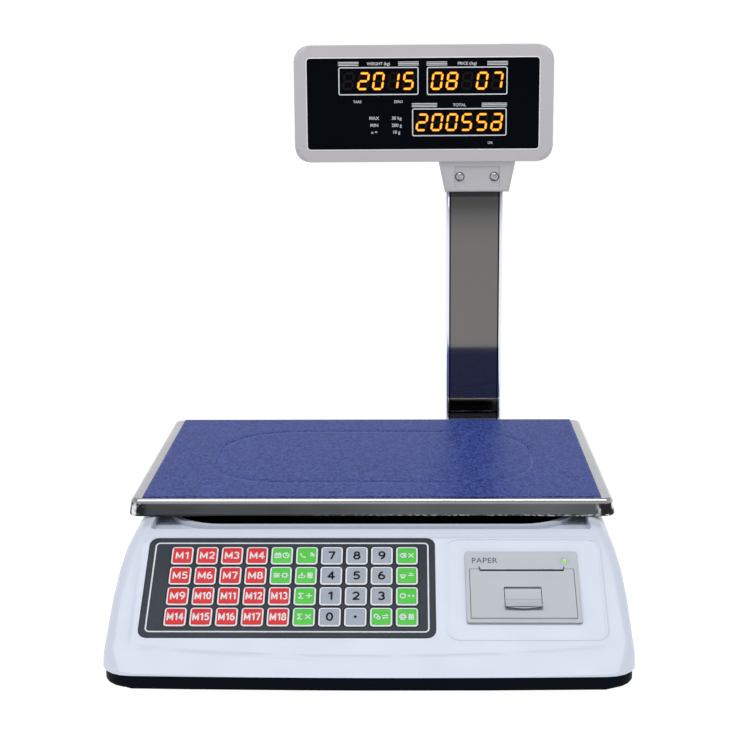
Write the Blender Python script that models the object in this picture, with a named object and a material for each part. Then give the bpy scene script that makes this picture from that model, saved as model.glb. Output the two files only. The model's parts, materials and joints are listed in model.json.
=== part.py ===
"""Label printing scale: a price computing scale with a display head on a pole and a slip printer in its deck.

Lengths are millimetres, turned into metres when a mesh is made. +X is the operator's right, +Y is away from
the operator and +Z is up. Z = 0 is the table, and X = Y = 0 is the middle of the object's footprint.
"""

from math import acos, atan2, cos, hypot, pi, radians, sin

import bmesh
import bpy
import numpy as np
from mathutils import Matrix, Vector

MM = 0.001
GAP = 0.3                    # clearance between pieces that touch on the real object
WALL = 2.6                   # moulded wall of the housings

# Base: white top housing over a black bottom tray
FRONT_Y = -213.2
BASE_REAR_Y = 174.1
BASE_HALF_WIDTH = 173.5
BASE_CORNER = 21.0
FRONT_BOW = 2.5
FOOT_HEIGHT = 8.0
PARTING_Z = 17.4             # seam between tray and housing
RIM_Z = 85.0                 # flat rim round the recess under the platter
HALF_WIDTH_AT = ((PARTING_Z, 173.5), (50.0, 172.2), (63.0, 170.4), (73.0, 167.6), (RIM_Z, 161.6))  # by height
DECK_ANGLE = radians(34.0)
DECK_FOOT_Z = 18.4
DECK_STEP = 0.8              # raised field of the deck that carries the keypad and the printer
FIELD_SLOPE = 2.2            # width of the field's sloping sides
SHOULDER = 7.0               # rounding of the housing's upper edges
FLOOR = 2.5

# Recess under the platter, and the well in it
RECESS_HALF_WIDTH = 152.5
RECESS_FRONT_Y = -112.5
RECESS_REAR_Y = 166.0
RECESS_Z = 79.0
RECESS_CORNER = 2.5
WELL_HALF_WIDTH = 141.5
WELL_FRONT_Y = -95.0
WELL_REAR_Y = 131.0
WELL_CORNER = 36.0
LIP_WIDTH = 4.5
LIP_HEIGHT = 3.0

# Platter
PLATTER_HALF_WIDTH = 171.0
PLATTER_DEPTH = 230.0
PLATTER_CENTRE_Y = 27.1
PLATTER_TOP_Z = 97.7
SKIRT_HEIGHT = 12.0
SHEET = 1.0
FILM_SIDE_MARGIN = 8.4
FILM_FRONT_MARGIN = 4.7
FILM_REAR_MARGIN = 2.0
PAD_X = 92.0
PAD_Y = 66.0
SUPPORT_Z = 84.0

# Keypad, in the deck's own coordinates: X, then distance up the slope
PAD_CENTRE = (-53.35, 70.0)
PAD_SIZE = (195.3, 81.5)
KEY_FIRST = (-127.6, 95.4)
KEY_PITCH = (17.0, 16.7)
KEY_SIZE = (14.4, 13.8)
KEY_COLUMNS = 10
KEY_ROWS = 4

# Printer, in the deck's own coordinates round PRINTER_X
PRINTER_X = 102.4
FACE_HALF_WIDTH = 37.75
FACE_LOW = 40.5
FACE_HIGH = 97.9
BAY_HALF_WIDTH = 35.1
LID_HINGE = (45.2, 0.0)
LID_TOP = 81.7
SLOT_HALF = 28.3             # the paper slot lies between the lid's two ears
LEVER_PIVOT = (66.3, -1.6)
PLATEN = (77.3, -6.5)
PLATEN_RADIUS = 4.6
MOTOR = (89.5, -20.0)
ROLL = (70.0, -26.0)
ROLL_RADIUS = 15.0
GEAR_MODULE = 0.5
PLATEN_TEETH = 16
IDLER_TEETH = 23
MOTOR_TEETH = 12
GEAR_SPAN = (32.0, 34.4)

# Pole and display head
POLE_X = 83.0
POLE_Y = 192.1
POLE_SIZE = (48.0, 24.0)
POLE_WALL = 1.2
POLE_FOOT_Z = 14.0
POLE_TOP_Z = 318.0
CABLE_Z = 34.0
HEAD_X = 39.9
HEAD_HALF_WIDTH = 107.5
HEAD_LOW_Z = 312.2
HEAD_TOP_Z = 407.8
HEAD_DEPTH = 42.2
HEAD_CORNER = 12.0
NECK_X = 84.6
NECK_LOW_Z = 286.7
WINDOW_HALF_WIDTH = 96.7
WINDOW_HALF_HEIGHT = 37.9
DIGIT_BOXES = {"weight": (3.0, 378.8, 5), "price": (76.4, 378.7, 5), "total": (70.1, 344.8, 6)}
DIGIT_PITCH = 12.5

COLOURS = {
    "white_plastic": ((0.80, 0.83, 0.90), 0.35, 0.0),
    "black_plastic": ((0.015, 0.018, 0.02), 0.45, 0.0),
    "grey_plastic": ((0.60, 0.60, 0.60), 0.45, 0.0),
    "printer_plastic": ((0.62, 0.62, 0.61), 0.45, 0.0),
    "stainless": ((0.62, 0.61, 0.60), 0.18, 1.0),
    "blue_film": ((0.045, 0.06, 0.33), 0.45, 0.0),
    "keypad_print": ((0.05, 0.055, 0.06), 0.40, 0.0),
    "rubber": ((0.02, 0.02, 0.02), 0.80, 0.0),
    "aluminium": ((0.70, 0.70, 0.72), 0.35, 1.0),
    "steel": ((0.50, 0.50, 0.52), 0.30, 1.0),
    "black_paint": ((0.02, 0.02, 0.022), 0.50, 0.0),
    "smoked_window": ((0.01, 0.01, 0.012), 0.06, 0.0),
    "led_module": ((0.25, 0.03, 0.01), 0.40, 0.0),
    "green_led": ((0.10, 0.80, 0.05), 0.25, 0.0),
    "circuit_board": ((0.02, 0.16, 0.06), 0.50, 0.0),
    "nylon": ((0.75, 0.73, 0.66), 0.50, 0.0),
    "paper": ((0.88, 0.88, 0.86), 0.90, 0.0),
    "vial_green": ((0.35, 0.75, 0.15), 0.10, 0.0),
    "cable_grey": ((0.25, 0.25, 0.26), 0.55, 0.0),
}


def frame_of(origin, u, v):
    """Matrix of a frame with its u and v axes along two unit vectors and w along their cross product."""
    u, v = Vector(u), Vector(v)
    w = u.cross(v)
    matrix = Matrix((u, v, w)).transposed().to_4x4()
    matrix.translation = Vector(origin)
    return matrix


WORLD = Matrix.Identity(4)
DECK = frame_of((0, FRONT_Y, DECK_FOOT_Z), (1, 0, 0), (0, cos(DECK_ANGLE), sin(DECK_ANGLE)))
SIDE = frame_of((0, 0, 0), (0, 1, 0), (0, 0, 1))                 # u = Y, v = Z, w = X
HEAD = frame_of((0, POLE_Y, 0), (1, 0, 0), (0, 0, 1))            # u = X, v = Z, w = towards the operator
HEAD_BACK = frame_of((0, POLE_Y, 0), (-1, 0, 0), (0, 0, 1))      # u = -X, v = Z, w = away from the operator
REAR = frame_of((0, BASE_REAR_Y, 0), (-1, 0, 0), (0, 0, 1))      # u = -X, v = Z, w = out of the rear wall
# Sections across the printer: u up the slope, v out of the deck, w along X from the printer's middle
ACROSS = DECK @ frame_of((PRINTER_X, 0, 0), (0, 1, 0), (0, 0, 1))


# ---------------------------------------------------------------- outlines

def circle(centre, radius, count=24):
    """Points on a circle, counter-clockwise."""
    return [
        (centre[0] + radius * cos(2 * pi * i / count), centre[1] + radius * sin(2 * pi * i / count))
        for i in range(count)
    ]


def rectangle(centre, size, corner=0.0, count=4):
    """Rectangle, with round corners of count segments each if corner is above zero."""
    half_u, half_v = size[0] / 2 - corner, size[1] / 2 - corner
    if corner == 0:
        count = 0
    points = []
    for quarter, (side_u, side_v) in enumerate(((1, 1), (-1, 1), (-1, -1), (1, -1))):
        for step in range(count + 1):
            angle = (quarter + (step / count if count else 0)) * pi / 2
            points.append((
                centre[0] + side_u * half_u + corner * cos(angle),
                centre[1] + side_v * half_v + corner * sin(angle),
            ))
    return points


def between(low_u, high_u, low_v, high_v, corner=0.0, count=4):
    """The same rectangle from its limits."""
    centre = ((low_u + high_u) / 2, (low_v + high_v) / 2)
    return rectangle(centre, (high_u - low_u, high_v - low_v), corner, count)


def base_outline(half_width, inset, rear_inset):
    """Plan of the base: round corners, and a front edge bowed out as one shallow arc."""
    corner = BASE_CORNER - inset
    front = FRONT_Y + FRONT_BOW + inset
    points = between(-half_width + inset, half_width - inset, front, BASE_REAR_Y - rear_inset, corner, 5)
    flat = half_width - inset - corner
    bow = [
        (flat * step / 4, FRONT_Y + FRONT_BOW + inset - FRONT_BOW * (1 - (step / 4) ** 2))
        for step in range(-3, 4)
    ]
    return points[:18] + bow + points[18:]


def gear_outline(centre, teeth, phase):
    """Trapezoid teeth on a pitch circle, a tooth's middle at the angle phase."""
    pitch_radius = GEAR_MODULE * teeth / 2
    outer, root = pitch_radius + 0.8 * GEAR_MODULE, pitch_radius - 1.2 * GEAR_MODULE
    points = []
    for tooth in range(teeth):
        middle = phase + 2 * pi * tooth / teeth
        for share, radius in ((-0.24, root), (-0.10, outer), (0.10, outer), (0.24, root)):
            angle = middle + share * 2 * pi / teeth
            points.append((centre[0] + radius * cos(angle), centre[1] + radius * sin(angle)))
    return points


# ---------------------------------------------------------------- meshes

def loft(rings):
    """Closed bmesh through rings of equal length, capped at both ends. Each ring is a list of Vectors."""
    bm = bmesh.new()
    rows = [[bm.verts.new(point) for point in ring] for ring in rings]
    for below, above in zip(rows, rows[1:]):
        for i, vert in enumerate(below):
            after = (i + 1) % len(below)
            bm.faces.new((vert, below[after], above[after], above[i]))
    bm.faces.new(list(reversed(rows[0])))
    bm.faces.new(rows[-1])
    return bm


def prism(outline, low, high, frame=WORLD):
    """Outline in a frame's u and v, swept along w from low to high."""
    return loft([[frame @ Vector((u, v, w)) for u, v in outline] for w in (low, high)])


def tube(outer, inner, low, high, frame=WORLD):
    """Sleeve between two outlines of equal length, open at both ends."""
    bm = bmesh.new()
    loops = [(outer, low), (outer, high), (inner, high), (inner, low)]
    rows = [[bm.verts.new(frame @ Vector((u, v, w))) for u, v in loop] for loop, w in loops]
    for index, row in enumerate(rows):
        after = rows[(index + 1) % 4]
        for i, vert in enumerate(row):
            j = (i + 1) % len(row)
            bm.faces.new((vert, row[j], after[j], after[i]))
    return bm


def turned(profile, centre, frame=WORLD, count=24):
    """Profile of (radius, w) pairs, turned round the w axis through centre, with flat ends."""
    rings = [
        [frame @ Vector((u, v, w)) for u, v in circle(centre, radius, count)] for radius, w in profile
    ]
    return loft(rings)


def several(*meshes):
    """Put bmeshes in one, as shells that don't touch each other."""
    whole = bmesh.new()
    for bm in meshes:
        copy = bpy.data.meshes.new("shell")
        bm.to_mesh(copy)
        bm.free()
        whole.from_mesh(copy)
        bpy.data.meshes.remove(copy)
    return whole


def round_edges(bm, chosen, width, segments):
    """Bevel the edges for which chosen(edge) is true."""
    edges = [edge for edge in bm.edges if chosen(edge)]
    bmesh.ops.bevel(bm, geom=edges, offset=width, segments=segments, profile=0.5, affect="EDGES")
    return bm


def level_edge(height):
    """Chooser for the edges that lie at one height."""
    return lambda edge: all(abs(vert.co.z - height) < 0.01 for vert in edge.verts)


def edge_at_y(place):
    """Chooser for the edges whose two ends lie at one Y."""
    return lambda edge: all(abs(vert.co.y - place) < 0.01 for vert in edge.verts)


def material_of(name):
    """Principled material from the colour table, made once."""
    found = bpy.data.materials.get(name)
    if found:
        return found
    colour, roughness, metallic = COLOURS[name]
    material = bpy.data.materials.new(name)
    material.use_nodes = True
    shader = material.node_tree.nodes["Principled BSDF"]
    shader.inputs["Base Color"].default_value = (*colour, 1)
    shader.inputs["Roughness"].default_value = roughness
    shader.inputs["Metallic"].default_value = metallic
    material.diffuse_color = (*colour, 1)
    return material


def axis_empty(name, position):
    """Empty on a joint's axis, which the moving pieces hang from."""
    empty = bpy.data.objects.new(name, None)
    empty.location = Vector(position) * MM
    empty.empty_display_size = 0.01
    bpy.context.scene.collection.objects.link(empty)
    return empty


def piece(name, bm, material, parent=None, smooth=35):
    """Object in metres from a bmesh in millimetres, hung from its parent if it has one."""
    start = parent.location if parent else Vector((0, 0, 0))
    bmesh.ops.remove_doubles(bm, verts=bm.verts, dist=0.0005)
    bmesh.ops.recalc_face_normals(bm, faces=bm.faces)
    bm.transform(Matrix.Translation(-start) @ Matrix.Scale(MM, 4))
    mesh = bpy.data.meshes.new(name)
    bm.to_mesh(mesh)
    bm.free()
    mesh.shade_smooth()
    mesh.set_sharp_from_angle(angle=radians(smooth))
    mesh.materials.append(material_of(material))
    obj = bpy.data.objects.new(name, mesh)
    bpy.context.scene.collection.objects.link(obj)
    obj.parent = parent
    return obj


def shape(target, operation, bm):
    """Boolean between a piece and a bmesh, which stays in the file as a hidden wire guide."""
    number = len(target.modifiers) + 1
    guide = piece(f"{target.name}_guide_{number}", bm, "nylon", target.parent)
    guide.hide_render = True
    guide.display_type = "WIRE"
    modifier = target.modifiers.new(f"shape_{number}", "BOOLEAN")
    modifier.operation = operation
    modifier.object = guide
    modifier.solver = "EXACT"
    return target


def cut(target, *meshes):
    """Take bmeshes away from a piece."""
    for bm in meshes:
        shape(target, "DIFFERENCE", bm)
    return target


def add(target, *meshes):
    """Join bmeshes to a piece."""
    for bm in meshes:
        shape(target, "UNION", bm)
    return target


# ---------------------------------------------------------------- base

def base_solid(inset, low_z, top_z, deck_drop):
    """Base body lofted through its plans, cut off by the deck's plane, deck_drop below the raised field."""
    known_z, known_width = zip(*HALF_WIDTH_AT)
    heights = [low_z, *(z for z in known_z if low_z < z < top_z), top_z]
    rings = [
        [Vector((x, y, z)) for x, y in base_outline(np.interp(z, known_z, known_width), inset, inset)]
        for z in heights
    ]
    bm = loft(rings)
    cutting = bmesh.ops.bisect_plane(
        bm, geom=bm.verts[:] + bm.edges[:] + bm.faces[:], plane_co=DECK @ Vector((0, 0, -deck_drop)),
        plane_no=(0, -sin(DECK_ANGLE), cos(DECK_ANGLE)), clear_outer=True,
    )
    edges = [item for item in cutting["geom_cut"] if isinstance(item, bmesh.types.BMEdge)]
    bmesh.ops.contextual_create(bm, geom=edges)
    return bm


def is_shoulder(edge):
    """True on the housing's upper edges: round the rim, round the deck and between the two."""
    if len(edge.link_faces) != 2:
        return False
    normals = [face.normal for face in edge.link_faces]
    upward = [normal.z > 0.5 for normal in normals]
    high = min(vert.co.z for vert in edge.verts) > DECK_FOOT_Z + 1.5
    return high and any(upward) and normals[0].angle(normals[1]) > radians(20)


def deck_field_outline(inset):
    """Raised field of the deck: straight sides and top, and a lower edge bowed towards the operator."""
    half, low, high, bow = 158.0 - inset, 20.5 + inset, 112.6 - inset, 6.5
    lower = [(half * 0.94 * i / 8, low - bow * (1 - (i / 8) ** 2)) for i in range(-8, 9)]
    return lower + [(half * 0.985, low + 3.0), (half, low + 9.0), (half, high - 6.0), (half - 2, high - 2),
                    (half - 6, high), (6 - half, high), (2 - half, high - 2), (-half, high - 6.0),
                    (-half, low + 9.0), (-half * 0.985, low + 3.0)]


def deck_field():
    """Raised field, whose sides slope outwards over the last step."""
    levels = ((FIELD_SLOPE, 0.0), (0.0, -DECK_STEP), (0.0, -2.5))
    return loft([
        [DECK @ Vector((u, v, w)) for u, v in deck_field_outline(inset)]
        for inset, w in reversed(levels)
    ])


def printer_rib_outline(inset):
    """Rounded rectangle that frames the printer on the deck."""
    return between(51.6 + inset, 156.4 - inset, 27.4 + inset, 110.4 - inset, 8.0 - inset)


def make_top_housing():
    """White shell: side walls, sloping deck, and a recess with a lipped well under the platter."""
    outer = base_solid(0, PARTING_Z, RIM_Z, DECK_STEP)
    outer.normal_update()
    outer = round_edges(outer, is_shoulder, SHOULDER, 4)
    housing = piece("top_housing", outer, "white_plastic")
    inner_top = RECESS_Z - WALL
    add(housing, deck_field())
    cut(housing, base_solid(WALL, PARTING_Z - 1, inner_top, WALL + DECK_STEP))
    recess = between(-RECESS_HALF_WIDTH, RECESS_HALF_WIDTH, RECESS_FRONT_Y, RECESS_REAR_Y, RECESS_CORNER)
    cut(housing, prism(recess, RECESS_Z, RIM_Z + 5))
    lip = between(-WELL_HALF_WIDTH - LIP_WIDTH, WELL_HALF_WIDTH + LIP_WIDTH, WELL_FRONT_Y - LIP_WIDTH,
                  WELL_REAR_Y + LIP_WIDTH, WELL_CORNER + LIP_WIDTH, 8)
    well = between(-WELL_HALF_WIDTH, WELL_HALF_WIDTH, WELL_FRONT_Y, WELL_REAR_Y, WELL_CORNER, 8)
    add(housing, prism(lip, RECESS_Z - 1, RECESS_Z + LIP_HEIGHT))
    cut(housing, prism(well, inner_top - 5, RIM_Z + 5))
    pocket = rectangle(PAD_CENTRE, (PAD_SIZE[0] + 2 * GAP, PAD_SIZE[1] + 2 * GAP), 6.3)
    tail_slot = between(-70, -40, 34, 38)
    bay = between(PRINTER_X - 37.1, PRINTER_X + 37.1, 41.4, 97.1, 1.0, 2)
    cut(housing, prism(pocket, -1.6, 5, DECK), prism(tail_slot, -9, -1, DECK), prism(bay, -9, 5, DECK))
    rib = tube(printer_rib_outline(0), printer_rib_outline(1.2), -0.5, 0.35, DECK)
    add(housing, rib)
    cut(housing, prism(between(107, 133, 36, 53.6, 1, 2), -5, 5, REAR),
        prism(between(64.5, 85.5, 36.5, 51.5, 1, 2), -5, 5, REAR),
        turned(((5.2, -5), (5.2, 5)), (-POLE_X, CABLE_Z), REAR, 16))
    return housing


def make_bottom_tray():
    """Black tray with a floor, a low wall, foot bosses and a battery opening."""
    outline = base_outline(BASE_HALF_WIDTH, 1.6, 1.6)
    outer = prism(outline, FOOT_HEIGHT, PARTING_Z - GAP)
    outer = round_edges(outer, level_edge(FOOT_HEIGHT), 2.4, 3)
    tray = piece("bottom_tray", outer, "black_plastic")
    inside = prism(base_outline(BASE_HALF_WIDTH, 1.6 + WALL, 1.6 + WALL), FOOT_HEIGHT + FLOOR, PARTING_Z + 5)
    cut(tray, inside)
    for x, y in foot_places():
        add(tray, turned(((9, 9), (9, 21)), (x, y), WORLD, 20))
    for x in (-146, -16):
        for y in (-162, -100):
            add(tray, turned(((3.2, 9), (3.2, 19.7)), (x, y), WORLD, 12))
    cut(tray, *[turned(((4.3, 5), (4.3, 25)), place, WORLD, 20) for place in foot_places()])
    door = between(-155, -79, -58, 49, 3, 2)
    ledge = between(-152, -82, -55, 46, 3, 2)
    cut(tray, prism(door, 5, FOOT_HEIGHT + 1.6), prism(ledge, 5, 15))
    return tray


def foot_places():
    """Centres of the four levelling feet."""
    return [(x, y) for y in (-178.0, 140.0) for x in (-142.0, 142.0)]


def make_feet():
    """Rubber feet moulded round a stud, each turning in its boss."""
    for number, (x, y) in enumerate(foot_places(), 1):
        axis = axis_empty(f"foot_axis_{number}", (x, y, 0))
        foot = turned(((11.5, 0), (14, 2.5), (14, 5.5), (12, 7.6), (4, 7.6), (4, 23)), (x, y), WORLD, 24)
        piece(f"levelling_foot_{number}", foot, "rubber", axis)


def make_battery():
    """Sealed battery on the floor, and the door under it."""
    low = FOOT_HEIGHT + FLOOR + GAP
    case = prism(between(-151, -83, -54, 45, 2, 2), low, low + 46)
    battery = piece("battery", case, "black_paint")
    add(battery, prism(between(-146, -140, 30, 36), low + 45, low + 51),
        prism(between(-96, -90, 30, 36), low + 45, low + 51))
    outline = between(-155 + GAP, -79 - GAP, -58 + GAP, 49 - GAP, 3, 2)
    door = prism(outline, FOOT_HEIGHT, FOOT_HEIGHT + 1.6 - GAP)
    piece("battery_door", door, "black_plastic")


def make_electronics():
    """Main board under the keypad, and the mains transformer at the back."""
    board = piece("main_board", prism(between(-150, -12, -166, -96), 20, 21.6), "circuit_board")
    chips = [((-120, -150), (22, 22), 2.5), ((-80, -120), (30, 10), 6), ((-40, -150), (14, 14), 9),
             ((-60, -155), (10, 10), 12), ((-130, -112), (18, 8), 9)]
    for centre, size, height in chips:
        add(board, prism(rectangle(centre, size), 21, 21.6 + height))
    low = FOOT_HEIGHT + FLOOR + GAP
    transformer = piece("mains_transformer", prism(between(-146, -96, 84, 126, 1, 2), low, low + 42), "steel")
    add(transformer, prism(between(-138, -104, 76, 134, 5, 3), low + 8, low + 34))


def make_load_path():
    """Single-point load cell on its spacer, an overload stop under its free end, and the platter support."""
    y = PLATTER_CENTRE_Y
    low = FOOT_HEIGHT + FLOOR + GAP
    piece("load_cell_spacer", prism(between(-65, -31, y - 15, y + 15, 1, 2), low, low + 12), "aluminium")
    cell_low = low + 12 + GAP
    bar = between(-65, 65, y - 15, y + 15, 1, 2)
    cell = piece("load_cell", prism(bar, cell_low, cell_low + 22), "aluminium")
    middle = cell_low + 11
    across = frame_of((0, y, middle), (1, 0, 0), (0, 0, 1))
    holes = [turned(((8, -20), (8, 20)), (side * 14, 0), across, 20) for side in (-1, 1)]
    cut(cell, *holes, prism(between(-15, 15, -3, 3), -21, 21, across))
    stop = turned(((5, low), (5, low + 4), (3, low + 4), (3, low + 10.6)), (50, y), WORLD, 12)
    piece("overload_stop", stop, "steel")
    plate = prism(between(-106, 106, y - 80, y + 80, 14, 4), SUPPORT_Z, SUPPORT_Z + 3.5)
    support = piece("platter_support", plate, "black_paint")
    cut(support, *[prism(between(-80, 80, y + side * 42 - 20, y + side * 42 + 20, 8, 3), 80, 95)
                   for side in (-1, 1)])
    add(support, prism(between(33, 63, y - 13, y + 13, 3, 3), cell_low + 22 + GAP, SUPPORT_Z + 1))
    add(support, prism(between(-90, 90, y - 2, y + 2), SUPPORT_Z - 8, SUPPORT_Z + 1))


def pad_places():
    """Centres of the four rubber pads under the platter."""
    return [(x, PLATTER_CENTRE_Y + y) for y in (-PAD_Y, PAD_Y) for x in (-PAD_X, PAD_X)]


def make_support_pads():
    """Rubber buttons that the platter rests on."""
    low = SUPPORT_Z + 3.5 + GAP
    top = PLATTER_TOP_Z - SHEET - GAP
    for number, place in enumerate(pad_places(), 1):
        button = turned(((9, low), (9, low + 3), (7, top - 1), (5.5, top)), place, WORLD, 20)
        piece(f"support_pad_{number}", button, "rubber")


def make_platter():
    """Stainless pan folded from one sheet, with its blue protective film. Both lift off together."""
    front = PLATTER_CENTRE_Y - PLATTER_DEPTH / 2
    rear = PLATTER_CENTRE_Y + PLATTER_DEPTH / 2
    axis = axis_empty("platter_lift_axis", (0, PLATTER_CENTRE_Y, PLATTER_TOP_Z))
    low = PLATTER_TOP_Z - SKIRT_HEIGHT

    def pan(inset, base, radius):
        half_width = PLATTER_HALF_WIDTH - inset
        outline = between(-half_width, half_width, front + inset, rear - inset, 7.0 - inset, 4)
        solid = prism(outline, base, PLATTER_TOP_Z - inset)
        return round_edges(solid, level_edge(PLATTER_TOP_Z - inset), radius, 3)

    platter = piece("platter", pan(0, low, 3.0), "stainless", axis)
    cut(platter, pan(SHEET, low - 5, 2.0))
    film = prism(between(-PLATTER_HALF_WIDTH + FILM_SIDE_MARGIN, PLATTER_HALF_WIDTH - FILM_SIDE_MARGIN,
                         front + FILM_FRONT_MARGIN, rear - FILM_REAR_MARGIN, 3, 3),
                 PLATTER_TOP_Z + 0.1, PLATTER_TOP_Z + GAP)
    piece("platter_film", film, "blue_film", axis)


def make_keypad():
    """Membrane keypad: one overlay sheet with embossed keys, over its switch sheet."""
    sheet = prism(rectangle(PAD_CENTRE, (PAD_SIZE[0] - 2, PAD_SIZE[1] - 2), 5), -1.5, -0.7, DECK)
    piece("keypad_switch_sheet", sheet, "circuit_board")
    outline = rectangle(PAD_CENTRE, PAD_SIZE, 6)
    overlay = piece("keypad_overlay", prism(outline, -0.6, 0.2, DECK), "keypad_print")
    keys = []
    for row in range(KEY_ROWS):
        for column in range(KEY_COLUMNS):
            centre = (KEY_FIRST[0] + column * KEY_PITCH[0], KEY_FIRST[1] - row * KEY_PITCH[1])
            keys.append(prism(rectangle(centre, KEY_SIZE), 0.0, 0.7, DECK))
    add(overlay, several(*keys))


def make_level():
    """Bull's-eye level in the recess, behind the platter."""
    low = RECESS_Z + GAP
    profile = ((9, low), (9, low + 2), (7.5, low + 5), (6, low + 5.6))
    piece("level_vial", turned(profile, (138, 154), WORLD, 20), "vial_green")


def make_mains_parts():
    """Mains inlet without its lead, and the power switch, both in the rear wall."""
    centre = (120.0, 44.8)
    inlet = piece("mains_inlet", prism(rectangle(centre, (48, 24), 4), GAP, 2.9, REAR), "black_plastic")
    add(inlet, prism(rectangle(centre, (25, 16.8), 1, 2), -22, 1, REAR))
    cut(inlet, prism(rectangle(centre, (22, 13.6), 2, 2), -17, 5, REAR))
    for u, v in ((-6, -1.5), (6, -1.5), (0, 2.5)):
        add(inlet, prism(rectangle((centre[0] + u, centre[1] + v), (2, 4)), -19, -2, REAR))
    centre = (75.0, 44.0)
    bezel = piece("switch_bezel", prism(rectangle(centre, (25, 19), 2, 2), GAP, 2.2, REAR), "black_plastic")
    add(bezel, prism(rectangle(centre, (20, 14)), -13, 1, REAR))
    cut(bezel, prism(rectangle(centre, (17.6, 12.2)), -11, 5, REAR))
    pivot = (-centre[0], BASE_REAR_Y - 2.0, centre[1])
    axis = axis_empty("power_rocker_axis", pivot)
    tilt = radians(8)
    profile = [(5.0, -5.1), (3.4, 0), (5.0, 5.1), (-1, 4.4), (-3.5, 0), (-1, -4.4)]
    turned_profile = [
        (pivot[1] + y * cos(tilt) - z * sin(tilt), pivot[2] + y * sin(tilt) + z * cos(tilt))
        for y, z in profile
    ]
    piece("power_rocker", prism(turned_profile, pivot[0] - 8.3, pivot[0] + 8.3, SIDE), "black_plastic", axis)


# ---------------------------------------------------------------- printer

def gear_places():
    """Centres of the platen gear, the idler and the motor gear, and the phases that put them in mesh."""
    platen_idler = GEAR_MODULE * (PLATEN_TEETH + IDLER_TEETH) / 2
    idler_motor = GEAR_MODULE * (IDLER_TEETH + MOTOR_TEETH) / 2
    reach_u, reach_v = MOTOR[0] - PLATEN[0], MOTOR[1] - PLATEN[1]
    reach = hypot(reach_u, reach_v)
    bearing = atan2(reach_v, reach_u)
    opening = acos((reach ** 2 + platen_idler ** 2 - idler_motor ** 2) / (2 * reach * platen_idler))
    to_idler = bearing + opening
    idler = (PLATEN[0] + platen_idler * cos(to_idler), PLATEN[1] + platen_idler * sin(to_idler))
    to_motor = atan2(MOTOR[1] - idler[1], MOTOR[0] - idler[0])
    idler_phase = to_idler + pi + pi / IDLER_TEETH
    teeth_turned = (to_motor - idler_phase) * IDLER_TEETH / (2 * pi)
    motor_phase = to_motor + pi - (0.5 - teeth_turned) * 2 * pi / MOTOR_TEETH
    return idler, to_idler, idler_phase, motor_phase


def make_printer_frame():
    """Face flange and paper bay in one moulding, with the fixed strip above the slot."""
    flange = between(-FACE_HALF_WIDTH + PRINTER_X, FACE_HALF_WIDTH + PRINTER_X, FACE_LOW, FACE_HIGH, 1.5, 3)
    frame = piece("printer_frame", prism(flange, GAP, 1.8, DECK), "printer_plastic")
    outside = [(42.0, 1.0), (42.0, -26.0), (62.5, -43.8), (96.6, -43.8), (96.6, 1.0)]
    add(frame, prism(outside, -36.7, 36.7, ACROSS))
    bay = [(42.9, 5.0), (43.6, -25.0), (63.6, -42.2), (95.0, -42.2), (95.0, -2.5), (83.6, -2.5), (83.6, 5.0)]
    cut(frame, prism(bay, -BAY_HALF_WIDTH, BAY_HALF_WIDTH, ACROSS))
    cut(frame, turned(((1.0, -36.2), (1.0, 36.2)), LID_HINGE, ACROSS, 12),
        turned(((1.8, -5), (1.8, 5)), (PRINTER_X + 29.3, 89.9), DECK, 16))
    return frame


def make_printer_lid(axis):
    """Lid with its knuckle, an ear at each end of the slot, the platen's cheeks, and lugs for the lever."""
    plate = [(LID_HINGE[0], -0.6), (LID_TOP, -0.6), (LID_TOP, 1.8), (LID_HINGE[0], 1.8)]
    half = 34.75
    lid = piece("printer_lid", prism(plate, -half, half, ACROSS), "printer_plastic", axis)
    add(lid, turned(((1.8, -half), (1.8, half)), LID_HINGE, ACROSS, 16))
    for low, high in ((-half, -SLOT_HALF), (SLOT_HALF, half)):
        add(lid, prism(between(LID_TOP - 3, LID_TOP + 1.6, -0.6, 1.8), low, high, ACROSS))
    cut(lid, prism(between(49.8, 68.9, -3, 5), -12.5, 12.5, ACROSS))
    for low in (-31.4, 29.6):
        add(lid, prism(between(70.5, 81.4, -10.6, 0, 2, 2), low, low + 1.8, ACROSS))
    for low in (-15.0, 13.0):
        add(lid, prism(between(63.6, 69.0, -4.2, 0), low, low + 2.0, ACROSS))
    cut(lid, turned(((1.6, -33), (1.6, 33)), PLATEN, ACROSS, 16),
        turned(((1.3, -20), (1.3, 20)), LEVER_PIVOT, ACROSS, 12),
        turned(((1.0, -36), (1.0, 36)), LID_HINGE, ACROSS, 12))
    return lid


def make_release_lever(axis):
    """Lever whose curled lower lip is pulled out to free the lid."""
    tab = [(64.6, -3.2), (67.9, -3.2), (67.9, 1.0), (67.2, 1.8), (56.8, 1.8), (54.6, 2.5), (52.4, 4.9),
           (51.5, 4.4), (53.4, 1.5), (56.2, 0.3), (64.6, 0.3)]
    lever = piece("release_lever", prism(tab, -12.1, 12.1, ACROSS), "printer_plastic", axis)
    add(lever, turned(((1.1, -14.8), (1.1, 14.8)), LEVER_PIVOT, ACROSS, 12))
    hook = [(64.8, -2.5), (64.8, -6.6), (70.5, -6.6), (70.5, -5.2), (67.0, -5.2), (67.0, -2.5)]
    add(lever, prism(hook, -2.5, 2.5, ACROSS))


def across_point(place, w=0.0):
    """World point, in millimetres, of a place in the section across the printer."""
    return ACROSS @ Vector((place[0], place[1], w))


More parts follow.
